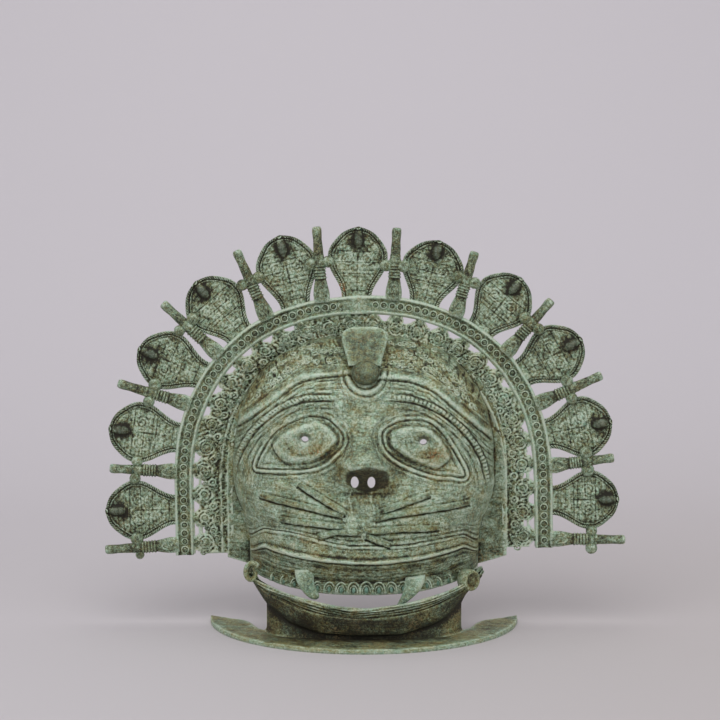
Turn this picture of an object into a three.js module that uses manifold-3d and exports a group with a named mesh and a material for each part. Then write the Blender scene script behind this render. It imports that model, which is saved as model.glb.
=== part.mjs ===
// A large cast brass mask of a feline spirit: a relief face with whiskers and fangs, an open lower jaw on
// a half neck and crescent collar, and a crown of cobra hoods and finials on a beaded band with pierced lace.
// Millimetres, +Z up, the face looks along -Y. "Depth" is the distance in front of the crown's plane.
import * as THREE from 'three';
import { mergeVertices } from 'three/addons/utils/BufferGeometryUtils.js';
import Module from 'manifold-3d';

const CROWN_Y = 58.5; // the crown's plane, so that the origin is under the middle of the whole

// Crown: a squarish arch of beaded band on two straight legs, turned a little against the face
const CROWN_TURN = THREE.MathUtils.degToRad(1.2);
const ARCH_X = -0.5;
const ARCH_Z = 128;
const ARCH_HALF_WIDTH = 167.5;
const ARCH_RISE = 170.5;
const ARCH_POWER = 2.25;
const LEG_END = 60; // from the arch's centre down to the feet of the band
const BAND_HALF = 8.4;
const BAND_BACK = -1.5;
const BAND_FACE = 2.3;
const BAND_EDGE = 4.5;
const BAND_RIM = 2; // width of the raised edges
const BEAD_CORD = 4.2;
const BEAD_CORD_HALF = 3.4;
const BAND_STEPS = 28;

// Hoods and finials: where each one starts along the outer edge from the left foot, and where it points,
// in degrees from upright
const HOOD_AT = [43, 111, 174, 226, 285, 342, 405, 463, 520, 582, 645];
const HOOD_POINTS = [-90, -81, -66, -39, -12, 3, 15, 40, 61, 80, 90];
const HOOD_LENGTHS = [65, 65, 64, 63, 66, 64, 59, 60, 63, 61, 62];
const HOOD_HALF = 28;
const HOOD_NECK = 14;
const HOOD_WIDEST = 0.52; // the share of its length where a hood is widest
const HOOD_CLOSES = 0.6; // and where it starts to close
const HOOD_ROOT = -3.6; // the neck runs this far into the band
const HOOD_BACK = -1.4;
const HOOD_RIM = 3.1;
const HOOD_FIELD = 1.1;
const HOOD_STATIONS = [0.03, 0.2, 0.38, 0.56, 0.76, 0.92];
const RIM_SLOPE = 0.8; // the rim's outer face draws in by this much
const RIM_WIDTH = 4.7;
const HEAD = [[0.58, 0], [0.76, 6], [0.89, 8]]; // share of the hood's length and depth of the snake's head
const HEAD_RADII = [3.2, 5.4];
const FINIAL_AT = [10, 79, 144, 199, 256, 310, 376, 436, 495, 552, 612, 681];
const FINIAL_POINTS = [-93, -86, -72, -46, -23, -3, 4, 18, 42, 67, 84, 92];
const FINIAL_LENGTHS = [66, 60, 67, 69, 67, 67, 64, 60, 63, 64, 58, 67];
const FINIAL_BALLS = [36, 36, 35, 39, 35, 34, 28, 34, 33, 31, 32, 35]; // from the band to the two balls
const FINIAL_AXIS = 3;
const FINIAL_FOOT = [[-3, 7], [8, 7.6], [20, 4.6], [25, 6.2], [36, 5]]; // distance along and radius
const FINIAL_TIP_R = 4.2;
const FOOT_FLAT = 0.55; // the foot is flatter than it is wide, up to here
const FOOT_END = 20;
const ROD_FLAT = 0.9;
const BALL_R = 5.8;
const BALL_OFFSET = 8.2;

// Lace: a pierced sheet between the band and the face, with a ball and a slit in each cell
const LACE_BACK = -1.2;
const LACE_FACE = 1.6;
const LACE_CELLS = 28;
const LACE_CLOSED = [5, 12, 13, 14, 22];
const LACE_BALL_R = 3;
const LACE_BALL_HEIGHT = 3.4;
const LACE_BALL_IN = 2.4; // from the band's inner edge
const ROSETTE_R = 4.2;
const ROSETTE_HEIGHT = 2.4;
const ROSETTE_IN = 11;
const SLIT = [[-6.5, 0.6], [6.5, 0.6], [2.5, 5.6], [-2.5, 5.6]]; // along the band and inward from it
const OVERLAP = 2; // joined sheets reach this far into each other

// Face: a deep relief inside a flat flange
const WALL = 4;
const FLANGE_LEFT = -127;
const FLANGE_RIGHT = 133;
const FLANGE_TOP = 273;
const FLANGE_FACE = 3;
const FACE_TOP = 270;
const CHEEK_HALF = 106;
const TEMPLE_HALF = 121;
const ROUND_POWER = 2.5; // how squarely the face turns back to the flange
const ROUND_DEPTH = 0.47;
const EYE_Z = 184;
const EYE_X = [-53, 53];
const EYE_MIDDLE = 56; // across, of the eye's whole teardrop
const EYE_HALF = 39;
const EYE_TALL = 24;
const EYE_BULGE = 7;
const BROW_HEIGHT = 222;
const BROW_DROP = 62;
const BROW_FROM = 34;
const BROW_TO = 113;
const BROW_CORD_R = 2.8;
const BOSS_X = 1.3;
const BOSS_Z = 243;
const BOSS_R = 12.6;
const BOSS_DEPTH = 66;
const BOSS_RING_R = 17;
const BOSS_RING_THICK = 2.4;
const PLATE_SHARES = [0, 0.3, 0.6, 0.8, 0.93, 1];
const PLATE_HALVES = [15, 18, 20.5, 21.5, 18.5, 10];
const PLATE_FOOT = [60, 249]; // depth and height
const PLATE_TIP = [42, 282];
const PLATE_BACK = -14;
const PLATE_FRONT = 3;
const CORNER_X = 104;
const CORNER_R = 9;
const WHISKER_R = 2;
const WHISKERS = [ // from x, z to x, z
  [-59, 145, -15, 119], [-94, 132, -18, 118], [-75, 112, -17, 108],
  [59, 136, 14, 121], [96, 125, 20, 116], [68, 105, 2, 104],
];
const FANGS = [ // left and right side of the root, its height, the tip's x and z, and the depth
  [-61, -45, 62, -43, 41, 80],
  [37, 52, 56, 31, 34, 82],
];
const PUPIL_SIZE = [3.2, 4]; // half width and half height
const NOSTRIL_SIZE = [3.4, 5.4];
const NOSTRIL_X = [-8.4, 6.4];
const NOSTRIL_Z = 148;
const NOSE_FOOT = 137; // the nose's underside slopes from here up to its tip
const NOSE_TIP = 163;

// Depth of the face on its middle line, from the teeth up to the flange
const MIDDLE_LINE = [
  [40, 84], [46, 86], [57, 86], [62, 91], [70, 97], [75, 99], [80, 96], [85, 95], [89, 98], [94, 96], [104, 95],
  [120, 93], [150, 88], [180, 83], [200, 80], [215, 74], [226, 68], [238, 63], [241, 67], [250, 55], [259, 38],
  [266, 20], [270, 5], [273, 3],
];

// Jaw, neck and collar: the jaw's sheet hangs from the lip's rim to a fold and turns back under to the neck
const RIM_HALF = 107;
const RIM_BACK = 36;
const RIM_FRONT = 97;
const RIM_Z = 34.6;
const RIM_CORNER_Z = 57;
const FOLD_HALF = 104;
const FOLD_BACK = 33;
const FOLD_FRONT = 92;
const FOLD_Z = 9;
const FOLD_CORNER_Z = 54;
const NECK_HALF = 89;
const NECK_BACK = 50;
const NECK_FRONT = 86;
const NECK_Z = 7;
const NECK_CORNER_Z = 30;
const UNDER = 1.2; // the share of the sheet where it meets the neck
const JAW_PROFILE = [[0, 0], [0.12, 2], [0.32, -1], [0.65, 1.5], [1, 0], [UNDER, 0], [2, 0]]; // share and swelling
const JAW_STATIONS = 18;
const COLLAR_HALF = 144;
const COLLAR_BACK = -12;
const COLLAR_FRONT = 129;
const COLLAR_THICKNESS = 4;
const WING = [[144, -12], [125, 1], [110, 8], [100, 35], [92, 47]]; // back edge of the collar's right wing

const SLIVER = 0.12; // joins leave no edge shorter than this, and few triangles thinner
const FOLD = 0.5; // a turned edge bends the surface by less than the angle with this cosine

const wasm = await Module();
wasm.setup();

const clamp = (t) => Math.min(1, Math.max(0, t));
const mix = (a, b, t) => a + (b - a) * t;
const smooth = (a, b, t) => {
  const s = clamp((t - a) / (b - a));
  return s * s * (3 - 2 * s);
};
const bump = (distance, width) => Math.exp(-((distance / width) ** 2));
const degrees = THREE.MathUtils.degToRad;

// A point given by x, depth and height
const at = (x, depth, z) => new THREE.Vector3(x, -depth, z);

function solid(geometry) {
  const bare = geometry.index ? geometry.clone() : mergeVertices(geometry);
  for (const name of Object.keys(bare.attributes)) {
    if (name !== 'position') bare.deleteAttribute(name);
  }
  const merged = mergeVertices(bare, 1e-3);
  return new wasm.Manifold(
    new wasm.Mesh({
      numProp: 3,
      vertProperties: new Float32Array(merged.attributes.position.array),
      triVerts: new Uint32Array(merged.index.array),
    }),
  );
}

const joined = (solids) => solids.reduce((sum, next) => sum.add(next));

// A closed body from rings of points with the same count; ends are closed flat, or the rings form a loop
function loft(rings, loop = false) {
  const count = rings[0].length;
  const points = rings.flat();
  const triangles = [];
  const spans = loop ? rings.length : rings.length - 1;
  for (let r = 0; r < spans; r += 1) {
    const next = ((r + 1) % rings.length) * count;
    for (let k = 0; k < count; k += 1) {
      const l = (k + 1) % count;
      triangles.push(r * count + k, r * count + l, next + l, r * count + k, next + l, next + k);
    }
  }
  if (!loop) {
    for (const [r, flip] of [[0, true], [rings.length - 1, false]]) {
      const middle = rings[r].reduce((sum, p) => sum.add(p), new THREE.Vector3()).divideScalar(count);
      points.push(middle);
      for (let k = 0; k < count; k += 1) {
        const edge = [r * count + k, r * count + ((k + 1) % count)];
        triangles.push(points.length - 1, ...(flip ? edge.reverse() : edge));
      }
    }
  }
  return closed(points, triangles);
}

// A closed body between two grids of points with the same size, joined round their four edges
function slab(front, back) {
  const rows = front.length;
  const columns = front[0].length;
  const points = [...front.flat(), ...back.flat()];
  const behind = rows * columns;
  const index = (r, c) => r * columns + c;
  const triangles = [];
  const quad = (a, b, c, d) => triangles.push(a, b, c, a, c, d);
  for (let r = 0; r < rows - 1; r += 1) {
    for (let c = 0; c < columns - 1; c += 1) {
      const corner = [index(r, c), index(r + 1, c), index(r + 1, c + 1), index(r, c + 1)];
      quad(...corner);
      quad(...corner.map((k) => k + behind).reverse());
    }
  }
  const edge = [];
  for (let c = 0; c < columns - 1; c += 1) edge.push(index(0, c));
  for (let r = 0; r < rows - 1; r += 1) edge.push(index(r, columns - 1));
  for (let c = columns - 1; c > 0; c -= 1) edge.push(index(rows - 1, c));
  for (let r = rows - 1; r > 0; r -= 1) edge.push(index(r, 0));
  edge.forEach((here, k) => {
    const next = edge[(k + 1) % edge.length];
    quad(here, next, next + behind, here + behind);
  });
  return closed(points, triangles);
}

// Turns points and triangles into a body, with its faces pointing out
function closed(points, triangles) {
  let volume = 0;
  for (let k = 0; k < triangles.length; k += 3) {
    const [a, b, c] = [points[triangles[k]], points[triangles[k + 1]], points[triangles[k + 2]]];
    volume += a.dot(b.clone().cross(c));
  }
  if (volume < 0) triangles.reverse();
  const geometry = new THREE.BufferGeometry();
  geometry.setAttribute('position', new THREE.Float32BufferAttribute(points.flatMap((p) => p.toArray()), 3));
  geometry.setIndex(triangles);
  return solid(geometry);
}

// A round bar of changing radius along a path of points, flattened across its depth by the last value
function bar(path, radius, sides = 6, flat = 1) {
  const curve = new THREE.CatmullRomCurve3(path);
  const steps = Math.max(1, path.length - 1);
  const rings = [];
  for (let k = 0; k <= steps; k += 1) {
    const t = k / steps;
    const point = path.length > 2 ? path[k] : curve.getPoint(t);
    const tangent = curve.getTangent(t);
    const across = new THREE.Vector3().crossVectors(tangent, at(0, 1, 0)).normalize();
    const out = new THREE.Vector3().crossVectors(across, tangent).normalize();
    const r = typeof radius === 'function' ? radius(t) : radius;
    rings.push(
      Array.from({ length: sides }, (_, n) => {
        const angle = ((n + 0.5) / sides) * 2 * Math.PI;
        return point
          .clone()
          .addScaledVector(across, r * Math.cos(angle))
          .addScaledVector(out, r * flat * Math.sin(angle));
      }),
    );
  }
  return loft(rings);
}

// A low boss standing on the lace, coming to a point
function boss(x, z, radius, height) {
  const sides = 4;
  const foot = LACE_FACE - 0.6;
  const points = Array.from({ length: sides }, (_, k) => {
    const angle = (k / sides) * 2 * Math.PI;
    return at(x + radius * Math.cos(angle), foot, z + radius * Math.sin(angle));
  });
  const triangles = points.flatMap((_, k) => [k, (k + 1) % sides, sides]);
  for (let k = 1; k < sides - 1; k += 1) triangles.push(0, k + 1, k);
  return closed([...points, at(x, foot + height, z)], triangles);
}

// The crown's arch, moved outward by an offset: points and outward directions at even steps of length
function arch(offset) {
  const samples = [];
  const quarter = 60;
  samples.push([-ARCH_HALF_WIDTH - offset, -LEG_END, -1, 0]);
  for (let k = 0; k <= 2 * quarter; k += 1) {
    const angle = Math.PI * (1 - k / (2 * quarter));
    const [c, s] = [Math.cos(angle), Math.sin(angle)];
    const across = Math.sign(c) * Math.abs(c) ** (2 / ARCH_POWER);
    const up = Math.abs(s) ** (2 / ARCH_POWER);
    const normal = new THREE.Vector2(
      (Math.sign(across) * Math.abs(across) ** (ARCH_POWER - 1)) / ARCH_HALF_WIDTH,
      up ** (ARCH_POWER - 1) / ARCH_RISE,
    ).normalize();
    samples.push([
      ARCH_HALF_WIDTH * across + offset * normal.x,
      ARCH_RISE * up + offset * normal.y,
      normal.x,
      normal.y,
    ]);
  }
  samples.push([ARCH_HALF_WIDTH + offset, -LEG_END, 1, 0]);
  const lengths = [0];
  for (let k = 1; k < samples.length; k += 1) {
    const [a, b] = [samples[k - 1], samples[k]];
    lengths.push(lengths[k - 1] + Math.hypot(b[0] - a[0], b[1] - a[1]));
  }
  const total = lengths.at(-1);
  const point = (length) => {
    const here = Math.min(total, Math.max(0, length));
    const k = Math.max(1, lengths.findIndex((l) => l >= here - 1e-9));
    const t = (here - lengths[k - 1]) / (lengths[k] - lengths[k - 1]);
    const [x, z, nx, nz] = samples[k].map((value, n) => mix(samples[k - 1][n], value, t));
    return { x: x + ARCH_X, z: z + ARCH_Z, nx, nz };
  };
  return { total, point };
}

const middleArch = arch(0);
const outerArch = arch(BAND_HALF);
const innerArch = arch(-BAND_HALF);

function bandSolid() {
  const shoulder = BAND_EDGE - 0.8;
  const section = [
    [-BAND_HALF, BAND_BACK], [-BAND_HALF, shoulder], [-BAND_HALF + BAND_RIM, BAND_EDGE],
    [-BEAD_CORD_HALF, BAND_FACE], [0, BEAD_CORD], [BEAD_CORD_HALF, BAND_FACE],
    [BAND_HALF - BAND_RIM, BAND_EDGE], [BAND_HALF, shoulder], [BAND_HALF, BAND_BACK],
  ];
  const rings = Array.from({ length: BAND_STEPS + 1 }, (_, k) => {
    const p = middleArch.point((middleArch.total * k) / BAND_STEPS);
    return section.map(([off, depth]) => at(p.x + p.nx * off, depth, p.z + p.nz * off));
  });
  return loft(rings);
}

// The outline of a hood: half of its width at a share of its length, rounded towards a slightly drawn-out tip
function hoodHalf(t) {
  const flare = mix(HOOD_NECK, HOOD_HALF, smooth(0, HOOD_WIDEST, t));
  const late = clamp((t - HOOD_CLOSES) / (1 - HOOD_CLOSES));
  return flare * Math.max(0, Math.sqrt(1 - late ** 2.1) - 0.11 * Math.sin(Math.PI * late ** 1.5));
}

// Points across and along a hood, for a rim drawn in by some millimetres
function hoodOutline(length, inset) {
  const least = 0.6;
  const root = [Math.max(least, HOOD_NECK / 2 - inset), HOOD_ROOT];
  const along = (t) => Math.min(t * length, length - inset - 1);
  const side = [root, ...HOOD_STATIONS.map((t) => [Math.max(least, hoodHalf(t) - inset), along(t)])];
  return [...side, [0, length - inset], ...side.map(([x, y]) => [-x, y]).reverse()];
}

// Sets a flat design out along a direction from the crown's outer edge
function placed(start, pointing) {
  const p = outerArch.point(start);
  const angle = degrees(pointing);
  const [dx, dz] = [Math.sin(angle), Math.cos(angle)];
  return (across, along, depth) => at(p.x + dx * along + dz * across, depth, p.z + dz * along - dx * across);
}

function hoodSolid(k) {
  const place = placed(HOOD_AT[k], HOOD_POINTS[k]);
  const length = HOOD_LENGTHS[k];
  const ring = (inset, depth) => hoodOutline(length, inset).map(([x, y]) => place(x, y, depth));
  const plate = loft([ring(0, HOOD_BACK), ring(RIM_SLOPE, HOOD_RIM), ring(RIM_WIDTH, HOOD_FIELD)]);
  const path = HEAD.map(([share, depth]) => place(0, share * length, depth));
  const head = bar(path, (t) => mix(...HEAD_RADII, Math.sin(Math.PI * t)), 4, ROD_FLAT);
  return plate.add(head);
}

function finialSolid(k) {
  const place = placed(FINIAL_AT[k], FINIAL_POINTS[k]);
  const sides = 5;
  const rings = [...FINIAL_FOOT, [FINIAL_LENGTHS[k], FINIAL_TIP_R]].map(([along, radius]) => {
    const flat = along < FOOT_END ? FOOT_FLAT : ROD_FLAT;
    return Array.from({ length: sides }, (_, n) => {
      const angle = (n / sides) * 2 * Math.PI;
      return place(radius * Math.cos(angle), along, FINIAL_AXIS + radius * flat * Math.sin(angle));
    });
  });
  const balls = [-1, 1].map((side) => {
    const geometry = new THREE.IcosahedronGeometry(BALL_R, 0);
    const middle = place(side * BALL_OFFSET, FINIAL_BALLS[k], FINIAL_AXIS);
    return solid(geometry.translate(middle.x, middle.y, middle.z));
  });
  return joined([loft(rings), ...balls]);
}

// The flange's outline at a height: how far it reaches to each side
function flangeReach(z) {
  const up = clamp((z - ARCH_Z - 12) / (FLANGE_TOP - ARCH_Z - 12));
  const share = (1 - up ** 2.3) ** (1 / 2.3);
  const middle = (FLANGE_LEFT + FLANGE_RIGHT) / 2;
  return [mix(middle, FLANGE_LEFT, share), mix(middle, FLANGE_RIGHT, share)];
}

// Half the width of the raised face at a height
function faceHalf(z) {
  const side = mix(CHEEK_HALF, TEMPLE_HALF, smooth(78, 140, z));
  const up = clamp((z - 140) / (FACE_TOP - 140));
  return side * (1 - up ** 2.6) ** (1 / 2.6);
}

function middleDepth(z) {
  const k = MIDDLE_LINE.findIndex(([height]) => height >= z);
  if (k <= 0) return MIDDLE_LINE.at(k < 0 ? -1 : 0)[1];
  const [[z0, d0], [z1, d1]] = [MIDDLE_LINE[k - 1], MIDDLE_LINE[k]];
  return mix(d0, d1, (z - z0) / (z1 - z0));
}

// How high the lips' lines rise towards the corners of the mouth
const lipLift = (x) => 11 * clamp(Math.abs(x) / 85) ** 2 - 16 * smooth(92, 108, Math.abs(x));

// The brow's arc above an eye: its height at x
const browHeight = (x) => BROW_HEIGHT - BROW_DROP * clamp((Math.abs(x) - BROW_FROM) / 80) ** 1.7;

// A teardrop round an eye, below one inside it
function eyeShape(x, z, side) {
  const across = (side * x - EYE_MIDDLE) / EYE_HALF;
  const lean = (z - EYE_Z + 4) / EYE_TALL + 0.32 * across;
  const narrow = 1 - 0.42 * Math.max(0, across);
  return Math.hypot(across, lean / Math.max(0.2, narrow));
}

function faceDepth(x, z) {
  const half = faceHalf(z);
  const share = Math.abs(x) / Math.max(1, half);
  const round = share < 1 ? (1 - share ** ROUND_POWER) ** ROUND_DEPTH : 0;
  const lipped = z < 100 ? z - lipLift(x) * smooth(100, 84, z) * smooth(38, 60, z) : z;
  let depth = mix(FLANGE_FACE, middleDepth(z < 100 ? lipped : z), round);
  const side = Math.sign(x);
  depth += 4 * round * bump(z - browHeight(x), 7) * smooth(20, 40, Math.abs(x));
  const eye = eyeShape(x, z, side);
  depth += EYE_BULGE * Math.sqrt(Math.max(0, 1 - eye ** 2)) - 2.5 * bump(eye - 1.06, 0.12);
  const bridge = smooth(218, 166, z) * clamp((z - NOSE_FOOT) / (NOSE_TIP - NOSE_FOOT));
  depth += (6 + 22 * smooth(196, NOSE_TIP, z)) * bridge * bump(x, mix(13, 22, smooth(200, 160, z)));
  depth -= 8 * bump(Math.hypot((Math.abs(x) - 8) / 1.2, z - NOSTRIL_Z), 6);
  return depth;
}

// Rows of the face are closer where the form turns quickly
const FACE_ROWS = [
  272, 268, 263, 256, 249, 241, 238, 230, 221, 211, 200, 189, 178, 168, 160, 151, 145, 139, 126, 112, 97,
  89, 85, 80, 75, 70, 62, 57, 44,
];
const FACE_COLUMNS = 22;
const HOLLOW_ROWS = [262, 250, 234, 205, 180, 150, 120, 90, 60, 30];
const HOLLOW_COLUMNS = 12;

function faceGrid() {
  return FACE_ROWS.map((z) => {
    const half = Math.max(WALL, faceHalf(z));
    const [left, right] = flangeReach(z);
    return Array.from({ length: FACE_COLUMNS + 1 }, (_, k) => {
      const u = (2 * k) / FACE_COLUMNS - 1;
      const inner = 0.88;
      const rise = Math.sin((Math.PI / 2) * clamp(Math.abs(u) / inner)) ** 1.25;
      const out = clamp((Math.abs(u) - inner) / (1 - inner));
      const reach = u < 0 ? -left : right;
      const x = Math.sign(u) * mix(half * rise, Math.max(half, reach), out);
      const drop = z < 62 ? 12 * clamp(Math.abs(x) / 110) ** 2 * smooth(62, 44, z) : 0;
      return at(x, faceDepth(x, z + drop), z + drop);
    });
  });
}

function faceSolid() {
  const front = faceGrid();
  const backOf = (grid, depth) => grid.map((row) => row.map((p) => at(p.x, depth, p.z)));
  const block = slab(front, backOf(front, LACE_BACK));
  const teeth = 57; // the hollow keeps the depth of the teeth's upper edge below them
  const hollowGrid = HOLLOW_ROWS.map((z) =>
    Array.from({ length: HOLLOW_COLUMNS + 1 }, (_, k) => {
      const u = (2 * k) / HOLLOW_COLUMNS - 1;
      const share = Math.sin((Math.PI / 2) * Math.abs(u)) ** 0.9;
      const round = (1 - clamp(share) ** ROUND_POWER) ** ROUND_DEPTH;
      const depth = mix(-OVERLAP, middleDepth(Math.max(teeth, z)) - WALL - 1, round);
      return at(Math.sign(u) * (faceHalf(z) - WALL) * share, depth, z);
    }),
  );
  return block.subtract(slab(hollowGrid, backOf(hollowGrid, -3 * OVERLAP)));
}

// A hole right through the wall of the face, leaning upward to the front
function hole(x, z, [wide, tall], lean) {
  const sides = 8;
  const ring = (depth) =>
    Array.from({ length: sides }, (_, k) => {
      const angle = (k / sides) * 2 * Math.PI;
      return at(x + wide * Math.cos(angle), depth, z + tall * Math.sin(angle) + lean * depth);
    });
  return loft([ring(20), ring(140)]);
}

// Jaw and neck: one bent sheet from the lip's rim under the chin and down to the collar
function jawSheet(inset) {
  return JAW_PROFILE.map(([s, swelling]) =>
    Array.from({ length: JAW_STATIONS + 1 }, (_, k) => {
      const angle = Math.PI * (k / JAW_STATIONS - 0.5);
      const [sin, cos] = [Math.sin(angle), Math.cos(angle)];
      const side = Math.abs(sin);
      const rim = [RIM_HALF, mix(RIM_BACK, RIM_FRONT, cos ** 0.9), mix(RIM_Z, RIM_CORNER_Z, side ** 1.6)];
      const fold = [FOLD_HALF, mix(FOLD_BACK, FOLD_FRONT, cos ** 0.85), mix(FOLD_Z, FOLD_CORNER_Z, side ** 3.2)];
      const neck = [NECK_HALF, mix(NECK_BACK, NECK_FRONT, cos ** 0.8), mix(NECK_Z, NECK_CORNER_Z, side ** 3)];
      const foot = [neck[0], neck[1], COLLAR_THICKNESS / 2];
      const [from, to, t] =
        s <= 1 ? [rim, fold, s] : s <= UNDER ? [fold, neck, (s - 1) / (UNDER - 1)] : [neck, foot, s - 1];
      const [half, depth, z] = from.map((value, n) => mix(value, to[n], t));
      const raised = s > UNDER ? 0 : inset * Math.min(1, s);
      return at((half + swelling - inset) * sin, depth + (swelling - inset) * cos, z + raised);
    }),
  );
}

function collarSolid() {
  const outline = new THREE.Shape();
  const reach = COLLAR_FRONT - COLLAR_BACK;
  const steps = 24;
  for (let k = 0; k < steps; k += 1) {
    const angle = Math.PI * (k / steps);
    const [x, depth] = [-COLLAR_HALF * Math.cos(angle), COLLAR_BACK + reach * Math.sin(angle)];
    if (k === 0) outline.moveTo(x, -depth);
    else outline.lineTo(x, -depth);
  }
  WING.forEach(([x, depth]) => outline.lineTo(x, -depth));
  const innerHalf = NECK_HALF - WALL;
  const inner = 16;
  for (let k = 0; k <= inner; k += 1) {
    const angle = Math.PI * (k / inner);
    outline.lineTo(innerHalf * Math.cos(angle), -mix(NECK_BACK, NECK_FRONT - WALL, Math.sin(angle) ** 0.8));
  }
  WING.slice(1).reverse().forEach(([x, depth]) => outline.lineTo(-x, -depth));
  return solid(new THREE.ExtrudeGeometry(outline, { depth: COLLAR_THICKNESS, bevelEnabled: false }));
}

function laceSolid() {
  const outline = new THREE.Shape();
  const steps = 28;
  for (let k = 0; k <= steps; k += 1) {
    const p = innerArch.point((innerArch.total * k) / steps);
    if (k === 0) outline.moveTo(p.x - OVERLAP, p.z);
    else outline.lineTo(p.x + OVERLAP * p.nx, p.z + OVERLAP * p.nz);
  }
  const inner = Array.from({ length: 17 }, (_, k) => {
    const angle = Math.PI * (k / 16);
    const z = mix(62, FLANGE_TOP - 6, Math.sin(angle) ** 0.75);
    const [left, right] = flangeReach(z);
    const x = k <= 8 ? right - 5 : left + 5;
    return [k === 8 ? 0 : x, z];
  });
  inner.forEach(([x, z]) => outline.lineTo(x, z));
  const sheet = new THREE.ExtrudeGeometry(outline, { depth: LACE_FACE - LACE_BACK, bevelEnabled: false });
  sheet.rotateX(Math.PI / 2);
  sheet.translate(0, -LACE_BACK, 0);
  const cell = innerArch.total / LACE_CELLS;
  const inward = (p, n) => [p.x - p.nx * n, p.z - p.nz * n];
  const slits = [];
  const bumps = [];
  for (let k = 0; k < LACE_CELLS; k += 1) {
    const from = innerArch.point((k + 0.5) * cell);
    bumps.push(boss(...inward(from, LACE_BALL_IN), LACE_BALL_R, LACE_BALL_HEIGHT));
    if (k % 2 === 0) bumps.push(boss(...inward(from, ROSETTE_IN), ROSETTE_R, ROSETTE_HEIGHT));
    if (k > 0 && !LACE_CLOSED.includes(k)) slits.push(slit(innerArch.point(k * cell)));
  }
  return { sheet: solid(sheet).subtract(joined(slits)), bumps };
}

// A three-cornered window in the lace with its long side on the band
function slit(p) {
  const ring = (depth) =>
    SLIT.map(([along, n]) => at(p.x + p.nz * along - p.nx * n, depth, p.z - p.nx * along - p.nz * n));
  return loft([ring(-5), ring(8)]);
}

function whisker([x0, z0, x1, z1]) {
  const steps = 2;
  const path = Array.from({ length: steps + 1 }, (_, k) => {
    const [x, z] = [mix(x0, x1, k / steps), mix(z0, z1, k / steps)];
    return at(x, faceDepth(x, z) + 0.6, z);
  });
  return bar(path, WHISKER_R, 3);
}

function browCord(side) {
  const steps = 8;
  const path = Array.from({ length: steps + 1 }, (_, k) => {
    const x = side * mix(BROW_FROM, BROW_TO, Math.sin((Math.PI / 2) * (k / steps)));
    const z = browHeight(x);
    return at(x, faceDepth(x, z) + 0.8, z);
  });
  return bar(path, BROW_CORD_R, 3);
}

function eyeRim(side) {
  const count = 13;
  const ring = Array.from({ length: count }, (_, k) => {
    const angle = (k / count) * 2 * Math.PI;
    const [nx, nz] = [side * Math.cos(angle), Math.sin(angle)];
    const point = (reach) => [side * EYE_MIDDLE + nx * reach, EYE_Z - 4 + nz * reach];
    let reach = 5;
    while (eyeShape(...point(reach), side) < 1.12) reach += 0.5;
    const [x, z] = point(reach);
    return { x, z, nx, nz };
  });
  const section = [[-2, -2], [0, 1.6], [2, -2]];
  return loft(
    ring.map(({ x, z, nx, nz }) =>
      section.map(([off, up]) => at(x + nx * off, faceDepth(x, z) + up, z + nz * off)),
    ),
    true,
  );
}

function fang([x0, x1, z0, tipX, tipZ, depth]) {
  const ring = (x, z, r, d) =>
    Array.from({ length: 6 }, (_, k) => {
      const angle = (k / 6) * 2 * Math.PI;
      return at(x + r * Math.cos(angle), d + r * 0.6 * Math.sin(angle), z);
    });
  const half = (x1 - x0) / 2;
  const middle = (x0 + x1) / 2;
  return loft([
    ring(middle, z0 + 8, half, depth - 2),
    ring(middle, z0 - 4, half * 0.9, depth),
    ring(mix(middle, tipX, 0.7), mix(z0, tipZ, 0.7), half * 0.55, depth + 3),
    ring(tipX, tipZ, half * 0.42, depth + 5),
  ]);
}

function foreheadPlate() {
  const ring = (extra) => {
    const point = (side) => (t, k) => {
      const [depth, z] = [0, 1].map((n) => mix(PLATE_FOOT[n], PLATE_TIP[n], t));
      return at(side * PLATE_HALVES[k] + 0.5, depth + extra, z);
    };
    return [...PLATE_SHARES.map(point(1)), ...PLATE_SHARES.map(point(-1)).reverse()];
  };
  return loft([ring(PLATE_BACK), ring(PLATE_FRONT)]);
}

function foreheadBoss() {
  const dome = new THREE.SphereGeometry(BOSS_R, 8, 5);
  dome.scale(1, 0.75, 0.85);
  dome.translate(BOSS_X, -BOSS_DEPTH, BOSS_Z);
  const ring = new THREE.TorusGeometry(BOSS_RING_R, BOSS_RING_THICK, 4, 12);
  ring.rotateX(Math.PI / 2);
  ring.translate(BOSS_X, -BOSS_DEPTH, BOSS_Z - 2);
  return joined([solid(dome), solid(ring)]);
}

function cornerCurl(side) {
  const geometry = new THREE.SphereGeometry(CORNER_R, 6, 4);
  geometry.scale(1, 1.5, 1.1);
  geometry.translate(side * CORNER_X, -41, 58);
  return solid(geometry);
}

const lace = laceSolid();
const crown = joined([
  bandSolid(),
  ...HOOD_AT.map((_, k) => hoodSolid(k)),
  ...FINIAL_AT.map((_, k) => finialSolid(k)),
  lace.sheet,
  ...lace.bumps,
])
  .translate(-ARCH_X, 0, -ARCH_Z)
  .rotate([0, -THREE.MathUtils.radToDeg(CROWN_TURN), 0])
  .translate(ARCH_X, 0, ARCH_Z);

let body = joined([
  crown,
  faceSolid(),
  slab(jawSheet(0), jawSheet(WALL)),
  collarSolid(),
  foreheadPlate(),
  foreheadBoss(),
  cornerCurl(-1),
  cornerCurl(1),
  browCord(-1),
  browCord(1),
  eyeRim(-1),
  eyeRim(1),
  ...WHISKERS.map(whisker),
  ...FANGS.map(fang),
]);
for (const x of EYE_X) body = body.subtract(hole(x, EYE_Z - 1, PUPIL_SIZE, 0.05));
for (const x of NOSTRIL_X) body = body.subtract(hole(x, NOSTRIL_Z - 8, NOSTRIL_SIZE, 0.08));

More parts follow.
